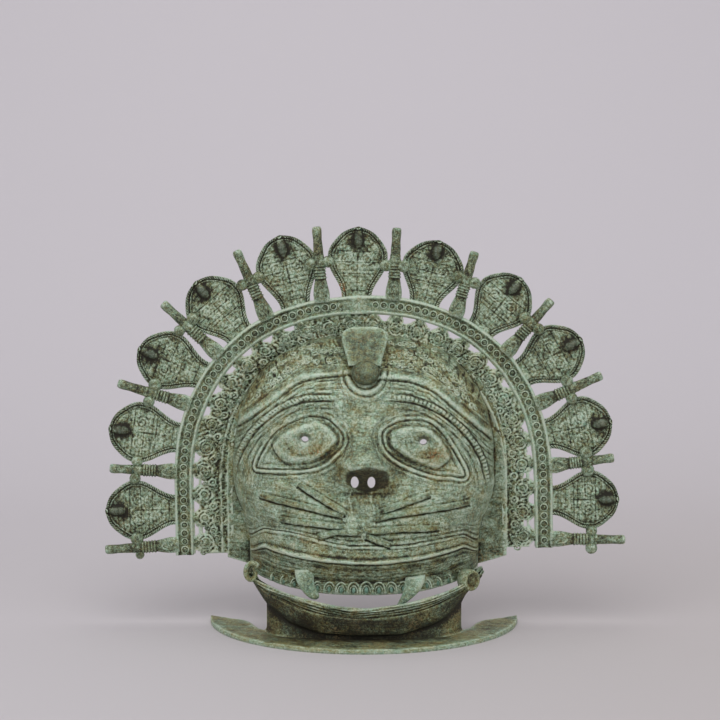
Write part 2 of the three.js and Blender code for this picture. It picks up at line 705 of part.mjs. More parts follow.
// Joins leave slivers where two surfaces meet at a grazing angle. Short edges are drawn together, and the
// long edge of a flat triangle is turned to its neighbour's far corner, which moves nothing by over a hair.
function evened(manifold) {
  const mesh = manifold.getMesh();
  const count = mesh.vertProperties.length / 3;
  const corner = (k) => new THREE.Vector3().fromArray(mesh.vertProperties, 3 * k);
  const face = (k) => [...mesh.triVerts.slice(3 * k, 3 * k + 3)];
  const points = Array.from({ length: count }, (_, k) => corner(k));
  let triangles = Array.from({ length: mesh.triVerts.length / 3 }, (_, k) => face(k));
  const thickness = (a, b, c) => {
    const [p, q, r] = [points[a], points[b], points[c]];
    const longest = Math.max(p.distanceTo(q), q.distanceTo(r), r.distanceTo(p));
    return q.clone().sub(p).cross(r.clone().sub(p)).length() / Math.max(longest, 1e-9);
  };
  const normal = (a, b, c) =>
    points[b].clone().sub(points[a]).cross(points[c].clone().sub(points[a])).normalize();
  for (let pass = 0; pass < 12; pass += 1) {
    const owner = new Map();
    const around = Array.from({ length: count }, () => new Set());
    triangles.forEach((t, n) => {
      for (let k = 0; k < 3; k += 1) {
        owner.set(`${t[k]}_${t[(k + 1) % 3]}`, n);
        around[t[k]].add(t[(k + 1) % 3]);
        around[t[(k + 1) % 3]].add(t[k]);
      }
    });
    const touched = new Set();
    let changes = 0;
    triangles.forEach((t, n) => {
      if (touched.has(n) || thickness(...t) > SLIVER) return;
      const spans = [0, 1, 2].map((k) => points[t[k]].distanceTo(points[t[(k + 1) % 3]]));
      const shortest = spans.indexOf(Math.min(...spans));
      const [keep, drop] = [t[shortest], t[(shortest + 1) % 3]];
      const shared = [...around[keep]].filter((k) => around[drop].has(k));
      const near = triangles.flatMap((u, m) => (u.includes(keep) || u.includes(drop) ? [m] : []));
      if (spans[shortest] < SLIVER && shared.length === 2 && !near.some((m) => touched.has(m))) {
        for (const m of near) {
          triangles[m] = triangles[m].map((k) => (k === drop ? keep : k));
          touched.add(m);
        }
        changes += 1;
        return;
      }
      const longest = spans.indexOf(Math.max(...spans));
      const [a, b, c] = [t[longest], t[(longest + 1) % 3], t[(longest + 2) % 3]];
      const other = owner.get(`${b}_${a}`);
      if (other === undefined || touched.has(other)) return;
      const d = triangles[other].find((k) => k !== a && k !== b);
      if (d === c || around[c].has(d)) return;
      if (Math.min(thickness(a, d, c), thickness(d, b, c)) <= thickness(...t)) return;
      const facing = normal(...triangles[other]);
      if (Math.min(normal(a, d, c).dot(facing), normal(d, b, c).dot(facing)) < FOLD) return;
      triangles[n] = [a, d, c];
      triangles[other] = [d, b, c];
      touched.add(n).add(other);
      around[c].add(d);
      around[d].add(c);
      changes += 1;
    });
    triangles = triangles.filter(([a, b, c]) => a !== b && b !== c && c !== a);
    if (changes === 0) break;
  }
  return { points, triangles };
}

function asGeometry(manifold) {
  const { points, triangles } = evened(manifold);
  const geometry = new THREE.BufferGeometry();
  geometry.setAttribute('position', new THREE.Float32BufferAttribute(points.flatMap((p) => p.toArray()), 3));
  geometry.setIndex(triangles.flat());
  geometry.computeVertexNormals();
  return geometry;
}

const brass = new THREE.MeshStandardMaterial({ color: 0x7d9483, roughness: 0.8, metalness: 0.3 });
const mask = new THREE.Mesh(asGeometry(body.simplify(SLIVER / 2)), brass);
mask.name = 'mask';
mask.position.y = CROWN_Y;

const group = new THREE.Group();
group.add(mask);

export default group;
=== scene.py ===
from math import cos, hypot, pi, radians, sin, sqrt

import bmesh
import bpy
import numpy as np
from mathutils import Euler, Matrix, Vector


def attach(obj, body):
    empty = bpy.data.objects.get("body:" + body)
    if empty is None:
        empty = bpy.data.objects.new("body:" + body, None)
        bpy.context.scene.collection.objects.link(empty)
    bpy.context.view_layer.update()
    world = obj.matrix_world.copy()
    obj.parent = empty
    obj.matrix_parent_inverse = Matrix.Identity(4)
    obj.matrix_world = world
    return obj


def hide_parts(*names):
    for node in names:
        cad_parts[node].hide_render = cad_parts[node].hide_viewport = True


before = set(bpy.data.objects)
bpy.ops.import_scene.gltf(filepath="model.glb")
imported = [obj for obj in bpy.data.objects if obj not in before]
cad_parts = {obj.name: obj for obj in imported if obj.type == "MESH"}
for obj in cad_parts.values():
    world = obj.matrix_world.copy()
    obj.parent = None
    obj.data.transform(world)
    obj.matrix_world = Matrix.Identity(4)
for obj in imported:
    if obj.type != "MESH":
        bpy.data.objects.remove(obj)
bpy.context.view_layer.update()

# Camera and light
# The mask stands on a seamless pale studio sweep and is seen from a little above its middle, by a long lens.
# A wide soft source above and in front lights it, a weaker one fills from the right, and a third lights the wall.
AIM = Vector((-0.0037, 0.0585, 0.2472))
CAMERA_DISTANCE = 2.2
CAMERA_ELEVATION = radians(6.5)
camera = bpy.data.objects.new("camera", bpy.data.cameras.new("camera"))
camera.data.lens = 118.9
camera.data.sensor_width = 36
camera.location = AIM + CAMERA_DISTANCE * Vector((0, -cos(CAMERA_ELEVATION), sin(CAMERA_ELEVATION)))
camera.rotation_euler = (pi / 2 - CAMERA_ELEVATION, 0, 0)
bpy.context.scene.collection.objects.link(camera)
bpy.context.scene.camera = camera


def soft_light(name, power, size, place, aim):
    lamp = bpy.data.objects.new(name, bpy.data.lights.new(name, "AREA"))
    lamp.data.energy = power
    lamp.data.size = size
    lamp.location = place
    lamp.rotation_euler = (Vector(aim) - Vector(place)).to_track_quat("-Z", "Y").to_euler()
    bpy.context.scene.collection.objects.link(lamp)


soft_light("key light", 31, 2.4, (-0.45, -1.5, 2.1), (0, 0, 0.15))
soft_light("fill light", 7, 1.6, (1.9, -1.7, 0.8), (0, 0, 0.15))
soft_light("wall light", 9, 1.2, (0, 0.5, 2.2), (0, 1.6, 0.9))
world = bpy.data.worlds.new("studio")
world.use_nodes = True
world.node_tree.nodes["Background"].inputs["Color"].default_value = (0.93, 0.93, 1.0, 1)
world.node_tree.nodes["Background"].inputs["Strength"].default_value = 0.58
bpy.context.scene.world = world
bpy.context.scene.view_settings.view_transform = "Standard"


# Face: one thick-walled relief from the teeth up to the diadem, with a flat flange round it
# The broad cheeks, the bulging eyes, the brows and the lips were modelled in wax threads laid side by side, so
# fine parallel ridges run everywhere. Pupils and nostrils are open holes.
MM = 0.001
CROWN_Y = 58.5
WALL = 4.0
SHEET_BACK = -1.2
FLANGE_DEPTH = 3.0
FLANGE_SIDES = (-127.0, 133.0)
FLANGE_TOP = 273.0
ARCH_FOOT = 128.0
SPRING_Z = 140.0
FLANGE_POWER, FACE_POWER = 2.3, 2.6
FACE_TOP = 270.0
CHEEK_HALF, TEMPLE_HALF = 106.0, 121.0
NOSE_Z, NOSE_FOOT = 163.0, 137.0
NOSTRILS = ((-8.4, 149.5), (6.4, 149.5))
PUPILS = ((-53.0, 184.5), (53.0, 182.0))
HOLE_RADIUS = 3.3
PROFILE_Z = (44, 57, 61, 66, 72, 76, 80, 85, 90, 95, 104, 120, 150, 180, 200, 215, 226, 238, 250, 259, 266, 270, 273)
PROFILE_DEPTH = (85, 86, 89, 93, 96.5, 98, 96.5, 96, 97, 95.5, 95, 93, 88, 83, 80, 74, 68, 61, 51, 36, 19, 6, 3)
LEFT_EYE = (
    (-97, 157.5), (-91, 172), (-80, 188), (-65, 198), (-49, 204), (-34.5, 203), (-25, 196), (-19.4, 188),
    (-20, 180), (-27, 172), (-35, 165), (-46, 160), (-65, 157.5), (-82, 156.5), (-95, 156),
)
WHISKERS = (
    ((-59, 145), (-37, 132), (-15, 119.5)),
    ((-94.5, 132), (-56, 126), (-18.5, 118)),
    ((-75.5, 112), (-46, 110.5), (-17, 108)),
    ((-42, 98.5), (-26, 103.5), (-3, 103)),
    ((59, 136), (36, 129), (14, 121)),
    ((96, 125), (60, 122.5), (26, 119), (9, 115)),
    ((68, 105), (35, 106), (2, 104)),
    ((24.4, 91.4), (12, 96), (2, 100)),
)
RIGHT_EYE = (
    (17, 191), (26, 198), (40.5, 201), (56.5, 199), (68, 190), (79, 174.5), (91, 150), (77, 151), (63, 153),
    (39, 162), (24.5, 172), (17.5, 181.5),
)
THREAD_PITCH = 1.7
BOSS_X, BOSS_Z = 1.3, 242.5
MUZZLE_RIDGES = ((-12, -12.5), (6.5, 8))
# Ridges of the carving as height, place and width; a groove's height is below zero.
BROW_GROOVES = ((-0.7, -3.2, 0.8), (-0.5, 2.9, 0.7), (-0.35, -9, 0.8))
DIADEM_RIDGES = ((0.35, 1.8, 1.5), (-0.5, -0.9, 0.7), (0.45, 8, 0.8), (0.35, 18, 0.8), (0.5, 27, 1.0))
FOREHEAD_GROOVES = (
    (-0.35, -3.6, 0.75), (-0.45, -6.8, 0.75), (-0.4, -10.4, 0.75), (-0.35, -14.5, 0.75), (-0.3, -18.5, 0.75),
)
EYE_LINES = ((-0.8, 0.3, 0.6), (0.4, -1.8, 1.3), (-0.2, -4.4, 0.6), (0.35, 2.6, 1.1), (-0.15, 4.8, 0.8))
LOWER_LID = ((0.5, 2.6, 1.1), (-0.5, 4.8, 0.8))
LIP_RIDGES = (
    (0.9, 83.5, 4.2), (1.3, 76.2, 1.3), (-1.2, 68, 4.0), (-0.9, 91.2, 0.8), (-0.8, 73.4, 0.9), (-0.35, 79.6, 0.7),
    (-0.45, 96.0, 0.7), (-0.3, 87.6, 0.7), (-0.4, 62.5, 0.8),
)
BOSS_RINGS = ((1.3, 17, 1.9), (-0.6, 13.6, 1.0), (0.4, 22.3, 1.2), (-0.4, 20, 0.8))
WHISKER_GROOVES = ((-1.1, -3.6, 1.2), (-0.4, 3.4, 1.0))


def round_shaded(mesh):
    mesh.polygons.foreach_set("use_smooth", [True] * len(mesh.polygons))


def mesh_object(name, points, faces):
    """A new object from points and faces; points are in metres."""
    mesh = bpy.data.meshes.new(name)
    mesh.from_pydata([tuple(p) for p in np.asarray(points, float)], [], [tuple(int(k) for k in f) for f in faces])
    round_shaded(mesh)
    mesh.update()
    made = bpy.data.objects.new(name, mesh)
    bpy.context.scene.collection.objects.link(made)
    return made


def tidy(piece):
    """Merges doubled points, drops loose ones and turns every face outward."""
    mesh = bmesh.new()
    mesh.from_mesh(piece.data)
    bmesh.ops.remove_doubles(mesh, verts=mesh.verts, dist=1e-6)
    bmesh.ops.delete(mesh, geom=[v for v in mesh.verts if not v.link_faces], context="VERTS")
    bmesh.ops.recalc_face_normals(mesh, faces=mesh.faces)
    mesh.to_mesh(piece.data)
    mesh.free()
    round_shaded(piece.data)


def at(x, depth, z):
    """Metres from millimetres given by x, depth in front of the crown's plane, and height."""
    x, depth, z = np.broadcast_arrays(x, depth, z)
    return np.stack([x, CROWN_Y - depth, z], axis=-1) * MM


def grid_faces(rows, columns, first=0, flip=False, keep=None):
    """Four-sided faces of a grid of points, without those that keep leaves out."""
    r, c = np.mgrid[0 : rows - 1, 0 : columns - 1]
    a = first + r * columns + c
    faces = np.stack([a, a + columns, a + columns + 1, a + 1], axis=-1)
    if flip:
        faces = faces[..., ::-1]
    return faces[keep] if keep is not None else faces.reshape(-1, 4)


def clamp(t):
    return np.clip(t, 0, 1)


def blend(a, b, t):
    return a + (b - a) * t


def smooth(a, b, t):
    s = clamp((t - a) / (b - a))
    return s * s * (3 - 2 * s)


def bump(distance, width):
    return np.exp(-((distance / width) ** 2))


def ridges(distance, rows):
    """Soft ridges side by side, each given by its height, place and width."""
    return sum(height * bump(distance - place, width) for height, place, width in rows)


def spot(x, z, place, reach):
    """One soft round or oval spot, 1 at its place."""
    return bump(np.hypot((x - place[0]) / reach[0], (z - place[1]) / reach[1]), 1)


def wobble(x, z, size, seed, waves=9):
    """Irregular hand-made unevenness between about -1 and 1, with features of the given size."""
    rng = np.random.default_rng(seed)
    total = 0
    for _ in range(waves):
        angle, phase = rng.uniform(0, 2 * pi, 2)
        pitch = size * rng.uniform(0.7, 1.6)
        total += np.sin((x * cos(angle) + z * sin(angle)) * 2 * pi / pitch + phase)
    return total / sqrt(waves)


def flange_reach(z):
    up = clamp((z - SPRING_Z) / (FLANGE_TOP - SPRING_Z))
    share = (1 - up**FLANGE_POWER) ** (1 / FLANGE_POWER)
    middle = sum(FLANGE_SIDES) / 2
    return blend(middle, FLANGE_SIDES[0], share), blend(middle, FLANGE_SIDES[1], share)


def face_half(z):
    side = blend(CHEEK_HALF, TEMPLE_HALF, smooth(78, SPRING_Z, z))
    up = clamp((z - SPRING_Z) / (FACE_TOP - SPRING_Z))
    return side * (1 - up**FACE_POWER) ** (1 / FACE_POWER)


MOUTH_ROWS = (44.0, 57.0, 76.0, 90.0, 118.0)
TEETH_HALF = 98.0


def mouth_heights(x):
    """Heights of the teeth's lower and upper edge and of the two lip ridges above x."""
    a = np.abs(x)
    bottom = MOUTH_ROWS[0] + 10.5 * (a / TEETH_HALF) ** 2.2
    top = 56.5 + 11 * (a / TEETH_HALF) ** 1.8
    lower = 75.5 + 8 * (np.minimum(a, 90) / 85) ** 1.6 - 11 * smooth(88, 108, a)
    upper = 90 + 10.5 * smooth(8, 72, -x) + 4.5 * smooth(28, 80, x) - 13 * smooth(88, 108, a)
    return [bottom, top, np.maximum(lower, top + 6), np.maximum(upper, top + 12), np.full_like(a, MOUTH_ROWS[-1])]


def from_rows(x, row):
    """Height of a row of the face at x: the rows bend along the teeth and lips."""
    heights = mouth_heights(x)
    z = np.array(row, float)
    for k in range(4):
        inside = (row >= MOUTH_ROWS[k]) & (row < MOUTH_ROWS[k + 1])
        share = (row - MOUTH_ROWS[k]) / (MOUTH_ROWS[k + 1] - MOUTH_ROWS[k])
        z = np.where(inside, blend(heights[k], heights[k + 1], share), z)
    return np.where(row < MOUTH_ROWS[0], heights[0] + row - MOUTH_ROWS[0], z)


def to_rows(x, z):
    """The row of the face that passes through a point."""
    heights = mouth_heights(x)
    row = np.array(z, float)
    for k in range(4):
        inside = (z >= heights[k]) & (z < heights[k + 1])
        share = (z - heights[k]) / (heights[k + 1] - heights[k])
        row = np.where(inside, blend(MOUTH_ROWS[k], MOUTH_ROWS[k + 1], share), row)
    return np.where(z < heights[0], MOUTH_ROWS[0] + z - heights[0], row)


def ledge_height(x):
    """The lower edge of the diadem, a low gable with a soft middle."""
    base, slope, centre, width = np.where(x < 0, 241.5, 238.3), np.where(x < 0, 0.84, 0.95), 54, 16
    out = np.abs(x) - centre
    return base - slope * (np.sqrt(out**2 + width**2) + out) / 2


BROW_LEFT, BROW_RIGHT, BROW_Z = -42.0, 30.0, 135.0


def brow_distance(x, z):
    """Millimetres above the beaded cord of the brow, on the cord's own curve."""
    left = x < 0
    across = np.maximum(0, np.where(left, BROW_LEFT - x, x - BROW_RIGHT)) / np.where(left, 79, 84)
    up = np.maximum(0, z - BROW_Z) / 86.3
    power = np.where(left, 1.85, 1.8)
    return ((across**power + up**power) ** (1 / power) - 1) * 83


def brow_along(x, z):
    return np.arctan2(np.maximum(0, z - BROW_Z), np.where(x < 0, BROW_LEFT - x, x - BROW_RIGHT)) * 84


def outline_distance(x, z, corners):
    """Signed distance to a smooth closed outline, negative inside."""
    here = np.array(corners, float)
    before, after, beyond = (np.roll(here, steps, 0) for steps in (1, -1, -2))
    t = np.linspace(0, 1, 9)[:-1, None, None]
    curve = 2 * here + (after - before) * t + (2 * before - 5 * here + 4 * after - beyond) * t**2
    curve = 0.5 * (curve + (3 * here - before - 3 * after + beyond) * t**3)
    line = curve.transpose(1, 0, 2).reshape(-1, 2)
    away, inside = np.full(np.shape(x), 99.0), np.zeros(np.shape(x), bool)
    for (ax, az), (bx, bz) in zip(line, np.roll(line, -1, 0)):
        gx, gz = bx - ax, bz - az
        share = clamp(((x - ax) * gx + (z - az) * gz) / (gx**2 + gz**2))
        away = np.minimum(away, np.hypot(x - ax - share * gx, z - az - share * gz))
        inside ^= ((az > z) != (bz > z)) & (x < ax + gx * (z - az) / (gz or 1))
    return np.where(inside, -away, away)


def line_offset(x, z, corners):
    """How far a point lies above a short bent line, negative below it and 99 past its ends."""
    off = np.full(np.shape(x), 99.0)
    for (ax, az), (bx, bz) in zip(corners, corners[1:]):
        gx, gz = bx - ax, bz - az
        length = hypot(gx, gz)
        share = ((x - ax) * gx + (z - az) * gz) / length**2
        side = (gx * (z - az) - gz * (x - ax)) / length * np.sign(gx)
        near = (share > 0) & (share < 1) & (np.abs(side) < np.abs(off))
        off = np.where(near, side, off)
    return off


def face_form(x, z):
    """Depth of the face's large forms: cheeks, lips, brow, eye sockets and nose."""
    share = clamp(np.abs(x) / np.maximum(1, face_half(z)))
    round_off = np.maximum(0, 1 - share**2.5) ** 0.47
    depth = blend(FLANGE_DEPTH, np.interp(to_rows(x, z), PROFILE_Z, PROFILE_DEPTH), round_off)
    bridge = smooth(218, 166, z) * clamp((z - NOSE_FOOT) / (NOSE_Z - NOSE_FOOT))
    broad = blend(12, 21, smooth(200, 160, z))
    across = np.exp(-(np.abs((x - 1.5 * smooth(175, 155, z)) / broad) ** 2.3))
    depth += (6 + 22 * smooth(196, NOSE_Z, z)) * bridge * across
    depth -= 3 * spot(np.abs(x + 1), z, (7.5, 150), (6, 7))
    depth += 2.5 * round_off * bump(brow_distance(x, z) - 4, 10)
    for (px, pz), side in zip(PUPILS, (-1, 1)):
        out = np.hypot((x - px - side * 4) / 40, (z - pz + 5) / 25)
        depth -= 3.0 * bump(np.maximum(0, out - 0.2), 0.9)
    return depth


def laid_over(threads, zone, over):
    """The run of the wax threads with another run laid over it in a zone."""
    return [np.where(zone, new, old) for new, old in zip(over, threads)]


def on_brow(x, z):
    return smooth(134, 148, z) * smooth(121, 113, np.abs(x)) * smooth(20, 38, np.abs(x))


def face_relief(x, z):
    """Height of the carving above the large forms, and where the wax threads run: across, along, how clear."""
    row = to_rows(x, z)
    a = np.abs(x)
    onface = smooth(1.0, 0.97, a / np.maximum(1, face_half(z)))
    height = 0.40 * wobble(x, z, 38, 1) + 0.25 * wobble(x, z, 15, 2)
    threads = [(z + 5 * np.cos(x / 60) + 2.0 * wobble(x, z, 70, 3)) / 2.6, x + 0.0, 0.45 + 0 * x]
    # brows: a beaded cord with soft ridges above and below it
    d, s = brow_distance(x, z), brow_along(x, z)
    browed = on_brow(x, z)
    beads = np.where(x < 0, 0.6 * np.abs(np.sin(s * pi / 3.4 + d * 0.7)), 1.1 * np.abs(np.sin(s * pi / 3.9)))
    above, under = smooth(4, 6, d) * smooth(24, 18, d), smooth(-4.5, -6, d) * smooth(-26, -20, d)
    ribs = 0.16 * above * np.sin((d - 3) * 2 * pi / 6.2) + 0.10 * under * np.sin(d * 2 * pi / 4.4)
    height += browed * ((0.5 + 1.3 * beads) * bump(d, 1.6) + ridges(d, BROW_GROOVES) + ribs)
    threads = laid_over(threads, (browed > 0.3) & (np.abs(d) < 26), (d / THREAD_PITCH, s, 0.75))
    # diadem: a ledge over the forehead, a plain band, then worn florets and an upper border
    up = (z - ledge_height(x)) * np.where(a < 45, 1, 0.78)
    height += onface * (1.5 * smooth(-0.9, 0.9, up) + ridges(up, DIADEM_RIDGES))
    height += onface * smooth(14, 36, a) * ridges(up + 0.8 * wobble(x, z, 50, 17), FOREHEAD_GROOVES)
    run = np.where(a < 45, a, 45 + (a - 45) * 1.35)
    banded = smooth(7.5, 9.5, up) * onface
    worn = clamp(0.55 + 0.55 * wobble(x, z, 26, 5))
    for middle, pitch, radius, shift in ((13.0, 11.5, 3.6, 0.0), (22.0, 8.6, 2.6, 0.5)):
        cell = (run / pitch + shift + 0.12 * wobble(x, z, 40, 6)) % 1 - 0.5
        r = np.hypot(cell * pitch, up - middle)
        height += banded * worn * ridges(r, ((0.55, radius, 0.8), (0.8, 0, 1.2)))
        height += banded * 0.4 * bump(np.hypot((0.5 - np.abs(cell)) * pitch, up - middle + 3), 1.3)
    rough = 0.55 * wobble(x, z, 5, 7, 14) + 0.45 * wobble(x, z, 9, 10, 14)
    height += banded * (0.16 * rough - 0.7 * smooth(0.75, 1.6, wobble(x, z, 8, 8, 14)))
    threads = laid_over(threads, (up > -20) & (a > 14) & (row > 150), (up / 1.8, run * np.sign(x), 0.7))
    threads[2] = np.where(up > 0, 0.35, threads[2])
    # eyes: a cut outline, a lid, an inner rim and a smooth ball round the pupil
    for corners, (px, pz) in zip((LEFT_EYE, RIGHT_EYE), PUPILS):
        e = outline_distance(x, z, corners)
        ball = np.hypot((x - px) / 1.12, z - pz)
        height += ridges(e, EYE_LINES) + smooth(-6, -16, z - pz) * ridges(e, LOWER_LID)
        dome = 5.0 * np.sqrt(np.maximum(0, 1 - (ball / 27) ** 2)) + 0.6
        height += smooth(-1.0, -8, e) * (dome - 0.3 * bump(ball - 15, 1.2))
        round_eye = (e / THREAD_PITCH, np.arctan2(z - pz, x - px) * 30, 0.4 + 0.3 * smooth(-8, -3, e))
        threads = laid_over(threads, e < 9, round_eye)
    # lips: two ridges with fine threads between them, and a groove under each
    height += smooth(114, 106, a) * onface * ridges(row, LIP_RIDGES)
    lip_threads = (row / THREAD_PITCH, x, 0.9 - 0.5 * bump(row - 83, 6))
    threads = laid_over(threads, (row < 103) & (a < 110), lip_threads)
    # muzzle: two short ridges under the nose, a soft fold beside each nostril
    for x0, x1 in MUZZLE_RIDGES:
        here = blend(x1, x0, clamp((z - 121) / 18)) + 1.2 * np.sin((z - 118) / 3.2)
        height += 0.5 * bump(x - here, 0.9) * smooth(118, 123, z) * smooth(143, 137, z)
    height += 1.6 * bump(np.hypot(np.abs(x - 2) - 17, (z - 156) / 1.3), 6)
    # rings under the boss of the forehead
    r = np.hypot(x - BOSS_X, z - BOSS_Z)
    height += smooth(247, 238, z) * ridges(r, BOSS_RINGS)
    ring_threads = (r / THREAD_PITCH, np.arctan2(z - BOSS_Z, x - BOSS_X) * 18, threads[2])
    threads = laid_over(threads, (r < 26) & (z < BOSS_Z + 0.5), ring_threads)
    # grooves pressed beside the whiskers, deeper below them
    height += sum(ridges(line_offset(x, z, corners), WHISKER_GROOVES) for corners in WHISKERS)
    return height, *threads


ROUND_SHARE = 0.88


def face_grid(columns, rows):
    """Points x and z of a grid over the face and its flange, with rows at even steps of the profile."""
    fine = np.linspace(PROFILE_Z[-1] - 0.5, PROFILE_Z[0], 900)
    depth = np.interp(fine, PROFILE_Z, PROFILE_DEPTH)
    length = np.concatenate([[0], np.cumsum(np.hypot(np.diff(fine), np.diff(depth)))])
    row = np.interp(np.linspace(0, length[-1], rows), length, fine)[:, None]
    u = np.linspace(-1, 1, columns)[None, :]
    half = np.maximum(4, face_half(row))
    left, right = flange_reach(row)
    rise = np.sin((pi / 2) * clamp(np.abs(u) / ROUND_SHARE)) ** 1.15
    out = clamp((np.abs(u) - ROUND_SHARE) / (1 - ROUND_SHARE))
    reach = np.maximum(half, np.where(u < 0, -left, right))
    x = np.sign(u) * blend(half * rise, reach, out)
    return x, from_rows(x, row * np.ones_like(x))


def normals_of(points):
    """Directions out of a grid of points whose rows run down and whose columns run to the right."""
    down = np.gradient(points, axis=0)
    across = np.gradient(points, axis=1)
    out = np.cross(down, across)
    return out / np.maximum(np.linalg.norm(out, axis=-1, keepdims=True), 1e-12)


FACE_COLUMNS, FACE_ROWS, COARSER = 313, 265, 4
x, z = face_grid(FACE_COLUMNS, FACE_ROWS)
base = at(x, face_form(x, z), z)
outward = normals_of(base)
lift = face_relief(x, z)[0]
edge_fade = smooth(0, 3, np.minimum(np.arange(FACE_COLUMNS), np.arange(FACE_COLUMNS)[::-1]))
front = base + outward * (lift * edge_fade)[..., None] * MM
back = base[::COARSER, ::COARSER] - normals_of(base[::COARSER, ::COARSER]) * WALL * MM
back[..., 1] = np.minimum(back[..., 1], (CROWN_Y - SHEET_BACK) * MM)
back[:, [0, -1], 1] = (CROWN_Y - SHEET_BACK) * MM


def border(rows, columns, first=0):
    index = first + np.arange(rows * columns).reshape(rows, columns)
    return np.concatenate([index[0, :-1], index[:-1, -1], index[-1, :0:-1], index[:0:-1, 0]])


def stitched(fine, coarse, ratio):
    """Triangles between a fine closed line of points and a coarse one."""
    faces = []
    count = len(coarse)
    for k in range(count):
        c0, c1 = coarse[k], coarse[(k + 1) % count]
        f = [fine[(k * ratio + n) % len(fine)] for n in range(ratio + 1)]
        half = ratio // 2
        faces += [(f[n], f[n + 1], c0) for n in range(half)]
        faces += [(f[half], c1, c0)]
        faces += [(f[n], f[n + 1], c1) for n in range(half, ratio)]
    return faces


back_rows, back_columns = back.shape[:2]
behind = FACE_ROWS * FACE_COLUMNS
face_faces = [tuple(f) for f in grid_faces(FACE_ROWS, FACE_COLUMNS)]
face_faces += [tuple(f) for f in grid_faces(back_rows, back_columns, behind, True)]
face_faces += stitched(border(FACE_ROWS, FACE_COLUMNS), border(back_rows, back_columns, behind), COARSER)
face = mesh_object("face", np.vstack([front.reshape(-1, 3), back.reshape(-1, 3)]), face_faces)
tidy(face)

DRILL_SIDES, DRILL_DEPTHS = 20, (20, 150)


def drilled(piece, holes):
    """Cuts holes right through a piece, given as x, z, half width, half height and lean of the hole's axis."""
    points, faces = [], []
    for x0, z0, wide, tall, lean in holes:
        first, second = len(points), len(points) + DRILL_SIDES
        for depth in DRILL_DEPTHS:
            for k in range(DRILL_SIDES):
                angle = 2 * pi * k / DRILL_SIDES
                points.append(at(x0 + wide * cos(angle), depth, z0 + tall * sin(angle) + lean * depth))
        faces += [tuple(range(first, second)), tuple(range(second + DRILL_SIDES - 1, second - 1, -1))]
        for k in range(DRILL_SIDES):
            n = (k + 1) % DRILL_SIDES
            faces.append((first + k, second + k, second + n, first + n))
    tool = mesh_object("drill", points, faces)
    tidy(tool)
    cut = piece.modifiers.new("holes", "BOOLEAN")
    cut.operation = "DIFFERENCE"
    cut.solver = "FAST"
    cut.object = tool
    cleared = bpy.data.meshes.new_from_object(piece.evaluated_get(bpy.context.evaluated_depsgraph_get()))
    piece.modifiers.clear()
    piece.data = cleared
    bpy.data.objects.remove(tool)
    round_shaded(piece.data)


NOSTRIL_HOLE = (3.5, 5.5, 0.09)
drilled(
    face,
    [(px, pz, HOLE_RADIUS, HOLE_RADIUS * 0.9, 0.0) for px, pz in PUPILS]
    + [(nx, nz - 9.5, *NOSTRIL_HOLE) for nx, nz in NOSTRILS],
)


def column(items, key, size=3, kind=float):
    """One property of a mesh's points or edges as an array."""
    values = np.zeros(len(items) * size, kind)
    items.foreach_get(key, values)
    return values.reshape(-1, size)


def millimetres(piece):
    """Columns of x, depth and height of a mesh's points, and its outward directions."""
    x, y, z = (column(piece.data.vertices, "co") / MM).T
    return x, CROWN_Y - y, z, column(piece.data.vertex_normals, "vector")


def smoothed(points, edges, rounds):
    """Points moved to the mean of their neighbours, a number of times."""
    count = len(points)
    degree = np.maximum(np.bincount(edges.ravel(), minlength=count), 1)[:, None]
    now = points.copy()
    for _ in range(rounds):
        total = [
            np.bincount(edges[:, 0], now[edges[:, 1], axis], count)
            + np.bincount(edges[:, 1], now[edges[:, 0], axis], count)
            for axis in range(3)
        ]
        now = 0.5 * now + 0.5 * np.stack(total, axis=1) / degree
    return now


def store(piece, name, values):
    layer = piece.data.attributes.get(name) or piece.data.attributes.new(name, "FLOAT", "POINT")
    layer.data.foreach_set("value", np.clip(np.asarray(values, np.float32), -400, 400))


LEAST_SPREAD = 0.06


def weathered(piece, fine, broad):
    """Stores how far each point lies below its surroundings, as an attribute with 0.5 for a flat place.

    Fine is the share of what lies a millimetre or two away, broad that of what lies farther off.
    """
    mesh = piece.data
    points, normals = column(mesh.vertices, "co"), column(mesh.vertex_normals, "vector")
    edges = column(mesh.edges, "vertices", 2, np.int64)
    near = smoothed(points, edges, 4)
    far = smoothed(near, edges, 24)
    below = 0
    for moved, share in ((near, fine), (far, broad)):
        depth = ((moved - points) * normals).sum(1) / MM
        depth -= np.median(depth)
        below = below + share * depth / max(1.48 * np.median(np.abs(depth)), LEAST_SPREAD)
    store(piece, "hollow", np.clip(0.5 + 0.11 * np.where(below < 0, 0.75 * below, below), 0.12, 0.92))


# The alloy has weathered to sage green on what stands proud and brown black in the hollows, with ochre earth, rust
# and small turquoise touches. Every piece takes this finish in its own balance.
class Tone:
    """A value in a finish. Arithmetic on it adds Math nodes."""

    def __init__(self, finish, socket):
        self.finish = finish
        self.socket = socket

    def __add__(self, other):
        return self.finish.math("ADD", self, other)

    def __sub__(self, other):
        return self.finish.math("SUBTRACT", self, other)

    def __rsub__(self, other):
        return self.finish.math("SUBTRACT", other, self)

    def __mul__(self, other):
        return self.finish.math("MULTIPLY", self, other)

    __radd__ = __add__
    __rmul__ = __mul__


